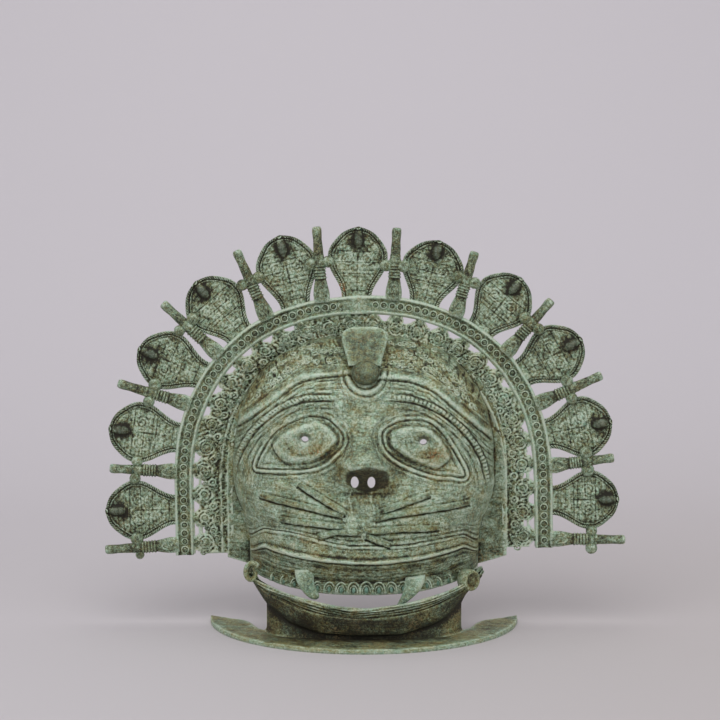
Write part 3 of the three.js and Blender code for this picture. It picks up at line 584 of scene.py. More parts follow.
class Finish:
    """A material whose nodes are added one by one."""

    def __init__(self, name):
        self.material = bpy.data.materials.new(name)
        self.material.use_nodes = True
        self.tree = self.material.node_tree
        self.shader = self.tree.nodes["Principled BSDF"]
        self.coordinates = self.node("ShaderNodeTexCoord", output="Object")

    def node(self, kind, settings=(), values=(), output=0):
        made = self.tree.nodes.new(kind)
        for name, value in dict(settings).items():
            if name == "stops":
                for k, (place, colour) in enumerate(value):
                    stop = made.color_ramp.elements[k] if k < 2 else made.color_ramp.elements.new(place)
                    stop.position, stop.color = place, (*colour, 1)
            else:
                setattr(made, name, value)
        for name, value in dict(values).items():
            self.feed(made.inputs[name], value)
        return Tone(self, made.outputs[output])

    def feed(self, socket, value):
        if isinstance(value, Tone):
            self.tree.links.new(value.socket, socket)
        else:
            socket.default_value = value

    def math(self, operation, a, b):
        return self.node("ShaderNodeMath", {"operation": operation}, {0: a, 1: b})

    def between(self, value, low, high):
        """0 below low, 1 above high and a soft step between them."""
        sockets = {"Value": value, "From Min": low, "From Max": high}
        return self.node("ShaderNodeMapRange", {"interpolation_type": "SMOOTHSTEP"}, sockets)

    def mixed(self, share, first, second, blend="MIX"):
        settings = {"data_type": "RGBA", "blend_type": blend}
        return self.node("ShaderNodeMix", settings, {"Factor": share, 6: first, 7: second}, output=2)

    def grain(self, where, scale, detail, roughness):
        values = {"Vector": where, "Scale": scale, "Detail": detail, "Roughness": roughness}
        return self.node("ShaderNodeTexNoise", values=values)

    def noise(self, scale, detail, roughness, shift=0.0):
        place = {"Vector": self.coordinates, "Location": (shift, shift * 0.7, shift * 1.3)}
        return self.grain(self.node("ShaderNodeMapping", values=place), scale, detail, roughness)

    def plane(self, across, along):
        return self.node("ShaderNodeCombineXYZ", values={"X": across, "Y": along})

    def attribute(self, name):
        return self.node("ShaderNodeAttribute", {"attribute_name": name}, output="Fac")


TONES = (
    (0.00, (0.017, 0.016, 0.009)), (0.16, (0.050, 0.054, 0.030)), (0.34, (0.112, 0.142, 0.088)),
    (0.50, (0.190, 0.245, 0.155)), (0.66, (0.265, 0.352, 0.240)), (0.84, (0.385, 0.490, 0.365)),
    (1.00, (0.560, 0.660, 0.530)),
)
EARTH_TINT = (1.20, 0.92, 0.62, 1)
COLD_TINT = (0.84, 1.05, 1.00, 1)
OCHRE = (0.370, 0.275, 0.125, 1)
RUST = (0.330, 0.105, 0.020, 1)
TURQUOISE = (0.130, 0.320, 0.260, 1)
GRIME_AND_SHADE_COLOUR = (0.022, 0.020, 0.012, 1)


def patina(name, light=0.0, contrast=1.0, earth=0.5, speckle=1.0, bump=1.0):
    """The weathered finish. Light shifts its balance to pale or dark, earth lets more brown through."""
    finish = Finish(name)
    hollow = finish.attribute("hollow") - 0.5
    soot, stain, lined = finish.attribute("soot"), finish.attribute("stain"), finish.attribute("lined")
    across, along = finish.attribute("lines"), finish.attribute("along")
    lines = finish.plane(across, along * 0.07)
    threads = finish.grain(lines, 0.9, 3, 0.6) - 0.5
    cuts = finish.between(finish.grain(lines, 2.1, 2, 0.5), 0.37, 0.47) - 0.75
    spread = {"Vector": finish.plane(across, along * 0.62), "Scale": 0.62, "Randomness": 0.85}
    pits = finish.node("ShaderNodeTexVoronoi", values=spread)
    dots = (finish.between(pits, 0.16, 0.50) - 0.45) * finish.attribute("dotted")
    cloud = finish.noise(17, 3, 0.5) - 0.5
    patch = finish.noise(85, 4, 0.62, shift=3.0) - 0.5
    fleck = finish.noise(400, 4, 0.7, shift=7.0) - 0.5
    grain = finish.noise(1250, 2, 0.6, shift=2.0) - 0.5
    worn = cloud * 0.45 + patch * 0.6 + fleck * 1.4 + grain * 1.3
    streaks = (threads * 1.2 + cuts * 0.30) * lined
    tone = 0.53 + light + worn * (speckle * contrast) + streaks * 1.1 + dots * 0.42
    # The stored soot value holds grime and painted shade, and darkens the tone.
    tone = tone - hollow * (1.15 * contrast) - soot * 0.5
    colour = finish.node("ShaderNodeValToRGB", {"stops": TONES}, {"Fac": tone})
    clay = finish.noise(46, 5, 0.68, shift=11.0) + stain * 0.3 + threads * 0.2 * lined
    brown = finish.between(clay, 0.48, 0.66)
    deep = finish.between(tone, 0.78, 0.46)
    colour = finish.mixed(brown * (deep * 0.65 + 0.35) * earth, colour, EARTH_TINT, "MULTIPLY")
    warm = finish.between(finish.noise(330, 3, 0.7, shift=41.0), 0.46, 0.60)
    colour = finish.mixed(warm * (deep * 0.6 + 0.2), colour, EARTH_TINT, "MULTIPLY")
    cold = finish.between(finish.noise(210, 3, 0.6, shift=23.0), 0.52, 0.62)
    colour = finish.mixed(cold * 0.5, colour, COLD_TINT, "MULTIPLY")
    dusty = finish.between(finish.noise(520, 3, 0.65, shift=5.0), 0.50, 0.62)
    crust = finish.between(finish.noise(34, 4, 0.7, shift=31.0) + stain * 0.22, 0.56, 0.68)
    colour = finish.mixed(crust * dusty * 0.62, colour, OCHRE)
    colour = finish.mixed(finish.between(stain, 0.62, 0.95) * dusty * 0.9, colour, RUST)
    verdigris = finish.between(finish.noise(75, 4, 0.65, shift=19.0), 0.60, 0.70) * dusty
    colour = finish.mixed(verdigris * 0.5 + finish.attribute("blue"), colour, TURQUOISE)
    # Grime and painted shade blend the colour towards near black.
    colour = finish.mixed(finish.between(soot, 0.35, 1.1) * 0.7, colour, GRIME_AND_SHADE_COLOUR)
    finish.feed(finish.shader.inputs["Base Color"], colour)
    finish.feed(finish.shader.inputs["Roughness"], 0.60 + worn * 0.3 + hollow * 0.25)
    height = fleck * 0.7 + grain * 0.45 + patch * 0.6 + streaks * 1.5 + dots * 0.5
    pushed = {"Height": height, "Strength": 0.8 * bump, "Distance": 0.0014}
    finish.feed(finish.shader.inputs["Normal"], finish.node("ShaderNodeBump", values=pushed))
    finish.shader.inputs["Metallic"].default_value = 0.1
    finish.shader.inputs["Specular IOR Level"].default_value = 0.35
    return finish.material


def finished(piece, material, soot=0.0, stain=0.0, fine=1.0, broad=0.5):
    """Stores what the finish reads and gives the piece its finish and its place in the model.

    Soot, which holds grime and painted shade, and stain are for a piece that has none of its own yet.
    """
    weathered(piece, fine, broad)
    for name, value in (("soot", soot), ("stain", stain), ("lines", 0), ("along", 0), ("lined", 0)):
        if name not in piece.data.attributes:
            store(piece, name, np.full(len(piece.data.vertices), float(value)))
    piece.data.materials.clear()
    piece.data.materials.append(material)
    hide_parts("mask")
    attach(piece, "root")


x, depth, z, out = millimetres(face)
_, lines, along, lined = face_relief(x, z)
inside = out[:, 1] > 0.35
row, a = to_rows(x, z), np.abs(x)
under_nose = np.hypot((x - 3) / 19.5, (z - 152.5) / np.where(z > 152.5, 11.0, 13.5))
# Painted shade, with some grime, under the nose, and painted shade over the nose tip and beside it.
soot = 1.1 * smooth(1.12, 0.86, under_nose + 0.06 * wobble(x, z, 14, 13))
soot += 0.62 * spot(x, z, (3, 163), (20.25, 15.75))
soot += ridges(row, ((0.35, 67.5, 5), (0.5, 59.2, 1.5))) + 0.35 * smooth(58, 56.5, row)
soot += 0.45 * bump(row - 73.2, 1.2) * (a < 112) + 0.35 * bump(row - 91.2, 1.0) * (a < 108)
for corners, (px, pz) in zip((LEFT_EYE, RIGHT_EYE), PUPILS):
    ball = np.hypot((x - px) / 1.12, z - pz)
    soot += ridges(outline_distance(x, z, corners), ((0.25, 0.3, 0.6), (0.15, -4.6, 0.6)))
    # Painted shade round each pupil hole, mostly on its upper side, and a painted shadow under each eyeball.
    soot += 1.1 * bump(ball - 3.8, 2.6) * smooth(-7, 5, z - pz) + 0.42 * spot(x, z, (px + 4, pz - 12.5), (21, 6))
cord = brow_distance(x, z)
nicks = 0.5 + 0.5 * np.cos(brow_along(x, z) * 2 * pi / np.where(x < 0, 3.4, 3.9))
soot += on_brow(x, z) * (ridges(cord, ((0.45, -3.0, 0.9), (0.35, 2.9, 0.8))) + 0.4 * bump(cord, 1.8) * nicks**2)
# Painted shadow along the underside of each whisker.
soot += sum(0.4 * bump(line_offset(x, z, corners) + 3.4, 1.1) for corners in WHISKERS)
soot -= 0.22 * spot(x, z, (0, 118), (95, 30))
above_ledge = z - ledge_height(x)
soot += smooth(7, 10, above_ledge) * clamp(0.36 + 0.2 * wobble(x, z, 10, 18))
stain = 0.18 * smooth(6, 10, above_ledge) + 0.5 * spot(x, z, (10, 148), (26, 10))
stain += sum(0.8 * spot(x, z, (px + 9, pz - 11), (17, 7)) for px, pz in PUPILS)
stain += 0.25 * smooth(0.2, 1.2, wobble(x, z, 60, 15))
stain += 0.35 * bump(row - 84, 7) * smooth(-0.3, 0.8, wobble(x, z, 50, 16))
for key, outer, inner in (("soot", clamp(soot), 0.5), ("stain", clamp(stain), 0.3), ("lined", lined, 0)):
    store(face, key, np.where(inside, inner, outer))
store(face, "lines", lines)
store(face, "along", along)
face_finish = patina("face patina", light=0.11, contrast=1.1, earth=0.9)
finished(face, face_finish, fine=0.55, broad=0.6)


# Crown band: a squarish arch of brass strip with raised edges and a row of bead rings between them
# It was cast with the rest from rolled wax strips. The crown is turned a little against the face, and a smear
# of metal from an old repair covers the beads at the top.
CROWN_TURN = radians(1.2)
ARCH_X, ARCH_Z = -0.5, 128.0
ARCH_HALF_WIDTH, ARCH_RISE, ARCH_POWER = 167.5, 170.5, 2.25
LEG_END = 60.0
BAND_HALF = 8.4
BAND_BACK, BAND_FIELD, BAND_RIDGE = -1.5, 2.3, 4.5
BEAD_PITCH, BEAD_RADIUS = 7.75, 3.2
SMEAR_X = -3.0


def turned(x, z):
    """A place on the upright crown, moved to where the turned crown has it."""
    dx, dz = x - ARCH_X, z - ARCH_Z
    c, s = cos(CROWN_TURN), sin(CROWN_TURN)
    return ARCH_X + dx * c - dz * s, ARCH_Z + dx * s + dz * c


class Arch:
    """The crown's arch moved outward by an offset, measured by length from the left foot."""

    def __init__(self, offset):
        angle = np.linspace(pi, 0, 1201)
        c, s = np.cos(angle), np.sin(angle)
        across = np.sign(c) * np.abs(c) ** (2 / ARCH_POWER)
        up = np.abs(s) ** (2 / ARCH_POWER)
        nx = np.sign(across) * np.abs(across) ** (ARCH_POWER - 1) / ARCH_HALF_WIDTH
        nz = up ** (ARCH_POWER - 1) / ARCH_RISE
        size = np.hypot(nx, nz)
        nx, nz = nx / size, nz / size
        end = ARCH_HALF_WIDTH + offset
        self.x = np.concatenate([[-end], ARCH_HALF_WIDTH * across + offset * nx, [end]]) + ARCH_X
        self.z = np.concatenate([[-LEG_END], ARCH_RISE * up + offset * nz, [-LEG_END]]) + ARCH_Z
        self.nx = np.concatenate([[-1], nx, [1]])
        self.nz = np.concatenate([[0], nz, [0]])
        self.run = np.concatenate([[0], np.cumsum(np.hypot(np.diff(self.x), np.diff(self.z)))])
        self.total = self.run[-1]

    def point(self, length):
        return [np.interp(length, self.run, v) for v in (self.x, self.z, self.nx, self.nz)]


middle_arch, outer_arch, inner_arch = Arch(0), Arch(BAND_HALF), Arch(-BAND_HALF)


def swept(rings):
    """A closed body from rings of points, closed at both ends."""
    rings = np.asarray(rings)
    steps, sides = rings.shape[:2]
    points = np.vstack([rings.reshape(-1, 3), rings[0].mean(0), rings[-1].mean(0)])
    faces = []
    for r in range(steps - 1):
        for k in range(sides):
            n = (k + 1) % sides
            faces.append((r * sides + k, r * sides + n, (r + 1) * sides + n, (r + 1) * sides + k))
    last = (steps - 1) * sides
    for k in range(sides):
        n = (k + 1) % sides
        faces.append((steps * sides, n, k))
        faces.append((steps * sides + 1, last + k, last + n))
    return points, faces


BAND_COLUMNS, BAND_STEPS = 21, 330
across = np.concatenate([[-BAND_HALF], np.linspace(-BAND_HALF, BAND_HALF, BAND_COLUMNS), [BAND_HALF]])
s = np.linspace(0, middle_arch.total, BAND_STEPS)[:, None]
x, z, nx, nz = middle_arch.point(s)
ridge = (BAND_RIDGE - BAND_FIELD) * bump(np.abs(across) - 6.6, 1.35)
depth = BAND_FIELD + ridge + 0.25 * wobble(s, across * 3, 23, 21)
depth += bump(x - SMEAR_X, 12) * smooth(250, 262, z) * (2.3 - ridge * 0.8)
depth[:, [0, -1]] = BAND_BACK
reach = across * (1 + 0.03 * wobble(s, across, 40, 22))
tx, tz = turned(x + nx * reach, z + nz * reach)
band = mesh_object("crown_band", *swept(at(tx, depth, tz)))
tidy(band)
x, depth, z, out = millimetres(band)
in_field = smooth(BAND_FIELD + 1.5, BAND_FIELD + 0.5, depth)
store(band, "soot", np.where(out[:, 1] > 0.3, 0.3, 0.14 * in_field - 0.08))
band_finish = patina("band patina", light=0.09, contrast=1.2, earth=0.4)
finished(band, band_finish, broad=0.7)


def repeated(name, shape, places, material, **looks):
    """Copies a shape to many places with a Geometry Nodes tree and finishes them as one plain mesh object.

    A place is a point in metres, a turn about the three axes and a size.
    """
    points = mesh_object(name, [p for p, _, _ in places], [])
    for key, column in (("turn", 1), ("size", 2)):
        layer = points.data.attributes.new(key, "FLOAT_VECTOR", "POINT")
        layer.data.foreach_set("vector", np.array([p[column] for p in places], np.float32).ravel())
    tree = bpy.data.node_groups.new(name + " copies", "GeometryNodeTree")
    tree.interface.new_socket("Geometry", in_out="INPUT", socket_type="NodeSocketGeometry")
    size_socket = tree.interface.new_socket("Overall size", in_out="INPUT", socket_type="NodeSocketFloat")
    tree.interface.new_socket("Geometry", in_out="OUTPUT", socket_type="NodeSocketGeometry")
    add = tree.nodes.new
    entry, leave = add("NodeGroupInput"), add("NodeGroupOutput")
    source = add("GeometryNodeObjectInfo")
    source.inputs["Object"].default_value = shape
    turn, size = add("GeometryNodeInputNamedAttribute"), add("GeometryNodeInputNamedAttribute")
    turn.data_type = size.data_type = "FLOAT_VECTOR"
    turn.inputs["Name"].default_value, size.inputs["Name"].default_value = "turn", "size"
    scaled = add("ShaderNodeVectorMath")
    scaled.operation = "SCALE"
    copies, real = add("GeometryNodeInstanceOnPoints"), add("GeometryNodeRealizeInstances")
    finish = add("GeometryNodeSetMaterial")
    finish.inputs["Material"].default_value = material
    link = tree.links.new
    link(size.outputs[0], scaled.inputs[0])
    link(entry.outputs["Overall size"], scaled.inputs["Scale"])
    link(entry.outputs["Geometry"], copies.inputs["Points"])
    link(source.outputs["Geometry"], copies.inputs["Instance"])
    link(turn.outputs[0], copies.inputs["Rotation"])
    link(scaled.outputs[0], copies.inputs["Scale"])
    link(copies.outputs[0], real.inputs[0])
    link(real.outputs[0], finish.inputs[0])
    link(finish.outputs[0], leave.inputs[0])
    made = points.modifiers.new("copies", "NODES")
    made.node_group = tree
    made[size_socket.identifier] = 1.0
    result = bpy.data.meshes.new_from_object(points.evaluated_get(bpy.context.evaluated_depsgraph_get()))
    points.modifiers.clear()
    points.data = result
    bpy.data.objects.remove(shape)
    tidy(points)
    finished(points, material, **looks)
    return points


def lathe(name, profile, sides, squash=1.0):
    """A turned shape standing on the crown's plane: radius and height pairs, pointing forward."""
    angle = np.linspace(0, 2 * pi, sides, endpoint=False)
    c, s = np.cos(angle), np.sin(angle)
    rings = [np.stack([r * c, np.full(sides, -height), r * squash * s], -1) * MM for r, height in profile]
    made = mesh_object(name, *swept(rings))
    tidy(made)
    return made


BEAD_PROFILE = (
    (BEAD_RADIUS + 0.5, -0.4), (BEAD_RADIUS + 0.3, 0.7), (BEAD_RADIUS - 0.25, 1.15), (BEAD_RADIUS - 0.9, 0.6),
    (1.7, 0.25), (1.5, 1.0), (0.8, 1.45), (0.1, 1.5),
)
rng = np.random.default_rng(4)
places = []
for length in np.arange(5, middle_arch.total - 3, BEAD_PITCH):
    bx, bz, _, _ = middle_arch.point(length)
    if abs(bx - SMEAR_X) < 13 and bz > 250:
        continue
    tx, tz = turned(bx, bz)
    size = 1 + rng.uniform(-0.09, 0.07)
    tilt = (rng.uniform(-0.06, 0.06), 0, rng.uniform(-0.06, 0.06))
    places.append((at(tx, BAND_FIELD - 0.1, tz), tilt, (size, 1, size)))
bead = lathe("bead", BEAD_PROFILE, 12)
x, _, z, _ = millimetres(bead)
out = np.hypot(x, z)
store(bead, "soot", 0.6 * smooth(2.3, 1.6, out) + 0.4 * smooth(BEAD_RADIUS - 0.1, BEAD_RADIUS + 0.5, out) - 0.26)
repeated("band_beads", bead, places, band_finish)


# Cobra hoods: eleven spread hoods round the crown, each a thin plate with a roped rim
# Each was modelled in wax: a rolled and nicked rim, a stippled field with two faint spirals and a line up the
# middle, and the snake's small head bent forward near the tip.
HOOD_AT = (43, 111, 174, 226, 285, 342, 405, 463, 520, 582, 645)
HOOD_POINTS = (-90, -81, -66, -39, -12, 3, 15, 40, 61, 80, 90)
HOOD_LENGTHS = (65, 65, 64, 63, 66, 64, 59, 60, 63, 61, 62)
HOOD_LENGTH, HOOD_HALF, HOOD_NECK = 64.0, 28.0, 14.0
HOOD_BACK, HOOD_RIM, HOOD_FIELD = -1.4, 3.1, 1.1
HEAD_Y = 51.0
ROPE_WIDE, ROPE_PITCH, CORD_PITCH = 5.2, 2.5, 2.2
SPIRAL_AT, SPIRAL_PITCH = (9.5, 34), 3.0


def shell(name, front, back, keep=None, fields=()):
    """A closed sheet between two grids of the same size; keep says which cells are there.

    Fields are named values for the points of the front grid; behind it they are zero.
    """
    rows, columns = front.shape[:2]
    count = rows * columns
    keep = np.ones((rows - 1, columns - 1), bool) if keep is None else keep
    faces = [grid_faces(rows, columns, 0, False, keep), grid_faces(rows, columns, count, True, keep)]
    padded = np.zeros((rows + 1, columns + 1), bool)
    padded[1:-1, 1:-1] = keep
    walls = []
    for r, c in zip(*np.nonzero(keep)):
        a, b, d, e = r * columns + c, (r + 1) * columns + c, (r + 1) * columns + c + 1, r * columns + c + 1
        for gone, (p, q) in (
            (not padded[r, c + 1], (e, a)),
            (not padded[r + 2, c + 1], (b, d)),
            (not padded[r + 1, c], (a, b)),
            (not padded[r + 1, c + 2], (d, e)),
        ):
            if gone:
                walls.append((q, p, p + count, q + count))
    made = mesh_object(name, np.vstack([front.reshape(-1, 3), back.reshape(-1, 3)]), np.vstack([*faces, walls]))
    for key, values in dict(fields).items():
        values = np.broadcast_to(values, (rows, columns)).ravel()
        store(made, key, np.concatenate([values, 0 * values]))
    tidy(made)
    return made


def hood_half(t):
    flare = blend(HOOD_NECK, HOOD_HALF, smooth(0, 0.52, t))
    late = clamp((t - 0.6) / 0.4)
    return flare * np.maximum(0, np.sqrt(1 - late**2.1) - 0.11 * np.sin(pi * late**1.5))


def hood_plate(name, columns, rows, seed):
    """A hood in its own plane: across is X, along is Z and the front looks to -Y."""
    tip = 0.6 + 0.4 * np.sin(np.linspace(0, pi / 2, rows * 2 // 5))
    t = np.concatenate([np.linspace(-0.05, 0.6, rows * 3 // 5)[:-1], tip])
    half = np.maximum(hood_half(t), 0.35)
    share = np.sin(np.linspace(-1, 1, columns) * pi / 2 * 0.92) / sin(pi / 2 * 0.92)
    x = half[:, None] * share[None, :]
    y = (t * HOOD_LENGTH)[:, None] + 0 * x
    y -= 1.2 * (share[None, :] ** 2) * smooth(0.85, 1, t)[:, None]
    edge_t = np.linspace(-0.05, 1, 220)
    edge = np.stack([np.maximum(hood_half(edge_t), 0.3), edge_t * HOOD_LENGTH], -1)
    gap = np.hypot(np.abs(x)[..., None] - edge[:, 0], y[..., None] - edge[:, 1])
    nearest = gap.argmin(-1)
    e = gap.min(-1)
    run = np.concatenate([[0], np.cumsum(np.hypot(*np.diff(edge, axis=0).T))])[nearest]
    roped = np.sin((run + e * 1.1) * 2 * pi / ROPE_PITCH + (x > 0) * 1.3)
    rim = np.sqrt(np.maximum(0, 1 - ((e - 1.5) / 1.7) ** 2))
    height = 0.15 + (HOOD_RIM - HOOD_FIELD) * 0.75 * rim + 0.35 * roped * rim
    nicked = 0.7 + 0.4 * np.sin(run * 2 * pi / CORD_PITCH)
    height += 0.6 * bump(e - 4.6, 0.65) * smooth(4, 9, y) * nicked - 0.25 * bump(e - 3.4, 0.5)
    field = smooth(5.0, 6.5, e)
    stipple = 0.10 * wobble(x, y, 3.2, seed, 16) + 0.10 * wobble(x, y, 6, seed + 1, 14)
    height += field * (stipple + 0.3 * wobble(x, y, 16, seed + 2))
    for side in (-1, 1):
        px, py = x - side * SPIRAL_AT[0], y - SPIRAL_AT[1]
        r, angle = np.hypot(px, py), np.arctan2(px * side, py)
        spiral = np.cos((r / SPIRAL_PITCH - angle / (2 * pi)) * 2 * pi)
        height += 0.13 * spiral * smooth(8.2, 6.6, r)
    height -= 0.25 * bump(x, 0.7) * smooth(4, 8, y) * smooth(42, 36, y)
    nub = np.hypot(x / 4.6, (y - HEAD_Y) / np.where(y > HEAD_Y, 12.0, 7.0))
    height += 3.4 * np.maximum(0, 1 - nub**2) + 1.4 * spot(x, y, (0, 48), (9, 13))
    bend = 2.2 * (np.abs(x) / HOOD_HALF) ** 2 * smooth(10, 30, y) - 1.2 * smooth(0.5, 1, y / HOOD_LENGTH)
    front = np.stack([x, -(HOOD_FIELD + height - bend * 0.35), y], -1) * MM
    back = np.stack([x * 0.97, -(HOOD_BACK - bend * 0.1), y], -1) * MM
    # Painted shadow round the snake's head near the tip, and the rope of the rim darker in its grooves.
    ragged = np.hypot((x + 1) / 8, (y - HEAD_Y) / 9.5) + 0.16 * wobble(x, y, 9, seed + 4)
    around = clamp(0.95 * bump(np.maximum(0, ragged - 0.35), 0.75) + 0.25 * bump(nub, 0.7)) * smooth(1.0, 3.0, e)
    around += (0.14 - 0.42 * roped) * smooth(4.2, 3.0, e) * smooth(0.3, 1.2, e)
    fields = {
        "soot": around,
        "lines": np.where(e < ROPE_WIDE, run * 1.15, x + 40 * seed),
        "along": np.where(e < ROPE_WIDE, e, y / 0.62),
        "dotted": smooth(5.5, 7, e),
        "lined": 0.4 * smooth(5.6, 4.8, e),
    }
    return shell(name, front, back, fields=fields)


def crown_place(length, pointing, across=0, along=0, depth=0):
    """Metres for a place across and along from where something stands on the crown's outer edge."""
    x, z, _, _ = outer_arch.point(length)
    c, s = cos(radians(pointing)), sin(radians(pointing))
    tx, tz = turned(x + s * along + c * across, z + c * along - s * across)
    return at(tx, depth, tz)


def standing(length, pointing, size):
    """Place, turn and size of what stands on the outer edge, by length along it and degrees it leans."""
    return crown_place(length, pointing), (0, radians(pointing) - CROWN_TURN, 0), size


hood_finish = patina("hood patina", light=-0.11, contrast=1.25, earth=0.4)
VARIANTS = 3
HOOD_COLUMNS, HOOD_ROWS = 61, 80
for variant in range(VARIANTS):
    places = []
    for k in range(variant, len(HOOD_AT), VARIANTS):
        size = (1 + 0.02 * sin(k * 2.3), 1, HOOD_LENGTHS[k] / HOOD_LENGTH)
        places.append(standing(HOOD_AT[k], HOOD_POINTS[k], size))
    hood = hood_plate("hood", HOOD_COLUMNS, HOOD_ROWS, 30 + 7 * variant)
    hoods = repeated(f"hoods_{variant + 1}", hood, places, hood_finish, fine=0.8)
    x, depth, z, out = millimetres(hoods)
    worn = column(hoods.data.attributes["hollow"].data, "value", 1)[:, 0]
    store(hoods, "hollow", np.where(out[:, 1] > -0.5, np.minimum(worn, 0.5), worn))
    store(hoods, "stain", 1.3 * spot(x, z, (-22, 313), (6, 9)))


# Finials: twelve round rods between the hoods, each with two balls
# A tapering foot with a raised loop, a few turned collars, two balls that touch the neighbouring hoods, and a
# plain rod above them. One rod is cut short, and one ball is a broken stub.
FINIAL_AT = (10, 79, 144, 199, 256, 310, 376, 436, 495, 552, 612, 681)
FINIAL_POINTS = (-93, -86, -72, -46, -23, -3, 4, 18, 42, 67, 84, 92)
FINIAL_LENGTHS = (66, 60, 67, 69, 67, 67, 64, 60, 63, 64, 58, 67)
FINIAL_LENGTH = 66.0
FINIAL_BALLS = (36, 36, 35, 39, 35, 34, 28, 34, 33, 31, 32, 35)
FINIAL_AXIS = 3.0
COLLARS_FROM, COLLARS_TO, COLLAR_STEP = 18.0, 32.0, 2.8
FINIAL_PROFILE = [
    (-3, 7.0, 0.5), (0, 7.3, 0.5), (4, 7.5, 0.55), (8, 7.1, 0.58), (12, 6.3, 0.62), (16, 5.5, 0.7),
    *((y, 5.6 - 0.6 * cos((y - COLLARS_FROM) * 2 * pi / COLLAR_STEP), 0.85)
      for y in np.arange(COLLARS_FROM, COLLARS_TO + 0.1, 0.7)),
    (35, 5.5, 0.9), (37.5, 4.8, 0.9), (39, 5.1, 0.9), (41, 4.5, 0.9), (46, 4.2, 0.95), (54, 4.1, 0.95),
    (61, 4.3, 0.95), (64.5, 4.2, 0.95), (65.8, 3.2, 0.95), (66, 1.2, 0.95),
]
BALL_RADIUS, BALL_OUT = 5.9, 8.2


def finial_rod(name, seed):
    angle = np.linspace(0, 2 * pi, 14, endpoint=False)
    rings = []
    for along, radius, flat in FINIAL_PROFILE:
        r = radius * (1 + 0.04 * wobble(np.cos(angle) * 9, along + np.sin(angle) * 9, 14, seed))
        depth = FINIAL_AXIS + r * flat * np.sin(angle)
        rings.append(np.stack([r * np.cos(angle), -depth, np.full(len(angle), along)], -1) * MM)
    made = mesh_object(name, *swept(rings))
    up = millimetres(made)[2]
    collared = (up > COLLARS_FROM - 0.5) & (up < COLLARS_TO)
    groove = 0.5 + 0.5 * np.cos((up - COLLARS_FROM) * 2 * pi / COLLAR_STEP)
    store(made, "soot", np.where(collared, 0.5 * groove**2 - 0.10, 0.02))
    tidy(made)
    return made


finial_finish = patina("finial patina", light=-0.08, contrast=1.1, earth=0.4, speckle=1.2)


def soft_ball(name, radius, sides=12, rings=8):
    angle = np.linspace(-pi / 2, pi / 2, rings)[1:-1]
    profile = [(0.15, -radius)] + [(radius * cos(a), radius * sin(a)) for a in angle] + [(0.15, radius)]
    return lathe(name, profile, sides)


places = [
    standing(length, pointing, (1, 1, tall / FINIAL_LENGTH))
    for length, pointing, tall in zip(FINIAL_AT, FINIAL_POINTS, FINIAL_LENGTHS)
]
repeated("finials", finial_rod("rod", 50), places, finial_finish)
ball_places = []
rng = np.random.default_rng(8)
for k in range(len(FINIAL_AT)):
    for side in (-1, 1):
        broken = (k, side) == (0, -1)
        size = (1 + rng.uniform(-0.1, 0.06)) * (0.75 if broken else 1)
        along = FINIAL_BALLS[k] + side * rng.uniform(-2, 2)
        out = side * BALL_OUT * (0.85 if broken else 1)
        place = crown_place(FINIAL_AT[k], FINIAL_POINTS[k], out, along, FINIAL_AXIS + 0.5)
        ball_places.append((place, (rng.uniform(-1, 1), rng.uniform(-1, 1), 0), (size, size * 0.95, size)))
ball = soft_ball("ball", BALL_RADIUS)
# Painted shade on each ball's back half darkens its rim and leaves a lighter middle, like a highlight.
store(ball, "soot", 0.6 * smooth(-2.5, 2.0, CROWN_Y - millimetres(ball)[1]) - 0.14)
repeated("finial_balls", ball, ball_places, finial_finish)
LOOP = [(-3.6, 2.5), (-3.7, 7), (-2.6, 11), (0, 13), (2.6, 11), (3.7, 7), (3.6, 2.5)]


def thread(path, radius, sides):
    """Points and faces of a thin wax thread laid along a path of points in metres."""
    path = np.asarray(path, float)
    along = np.gradient(path, axis=0)
    along = along / np.linalg.norm(along, axis=1, keepdims=True)
    forward = np.array([0, -1.0, 0])
    side = np.cross(along, forward)
    side = side / np.maximum(np.linalg.norm(side, axis=1, keepdims=True), 1e-9)
    out = np.cross(side, along)
    radius = np.broadcast_to(radius, len(path))[:, None, None] * MM
    angle = np.linspace(0, 2 * pi, sides, endpoint=False) + pi / sides
    c, s = np.cos(angle)[:, None], np.sin(angle)[:, None]
    return swept(path[:, None] + radius * (side[:, None] * c + out[:, None] * s))


loop_path = [(x * MM, -(FINIAL_AXIS + 3.6) * MM, y * MM) for x, y in LOOP]
loop = mesh_object("loop", *thread(loop_path, 1.0, 5))
# The loops are worn pale on their inner side, where the other pieces are dark.
repeated("finial_loops", loop, places, finial_finish, soot=-0.25, fine=-1.0, broad=-0.5)


# Lace: a pierced sheet of worn scrolls between the band and the face
# A dark ball stands at the band's inner edge over every rosette, with palmettes between them. Slits are open
# between the balls; some were never open or have filled up.
LACE_FACE = 1.6
LACE_OVER_BAND, LACE_OVER_FLANGE = 2.5, 5.0
LACE_CELLS, LACE_SCROLLS = 28, 196
BALLS_IN, FANS_IN, ROSETTES_IN, RINGS_IN = 2.6, 4.5, 11.0, 19.0
CLOSED_SLITS = (5, 12, 13, 14, 22)
SMALL_HOLES = ((42.0, 281.0, 2.6, 1.4), (23.5, 283.5, 1.5, 1.2), (80.0, 251.0, 1.4, 1.4), (-17.0, 261.0, 1.7, 1.9))


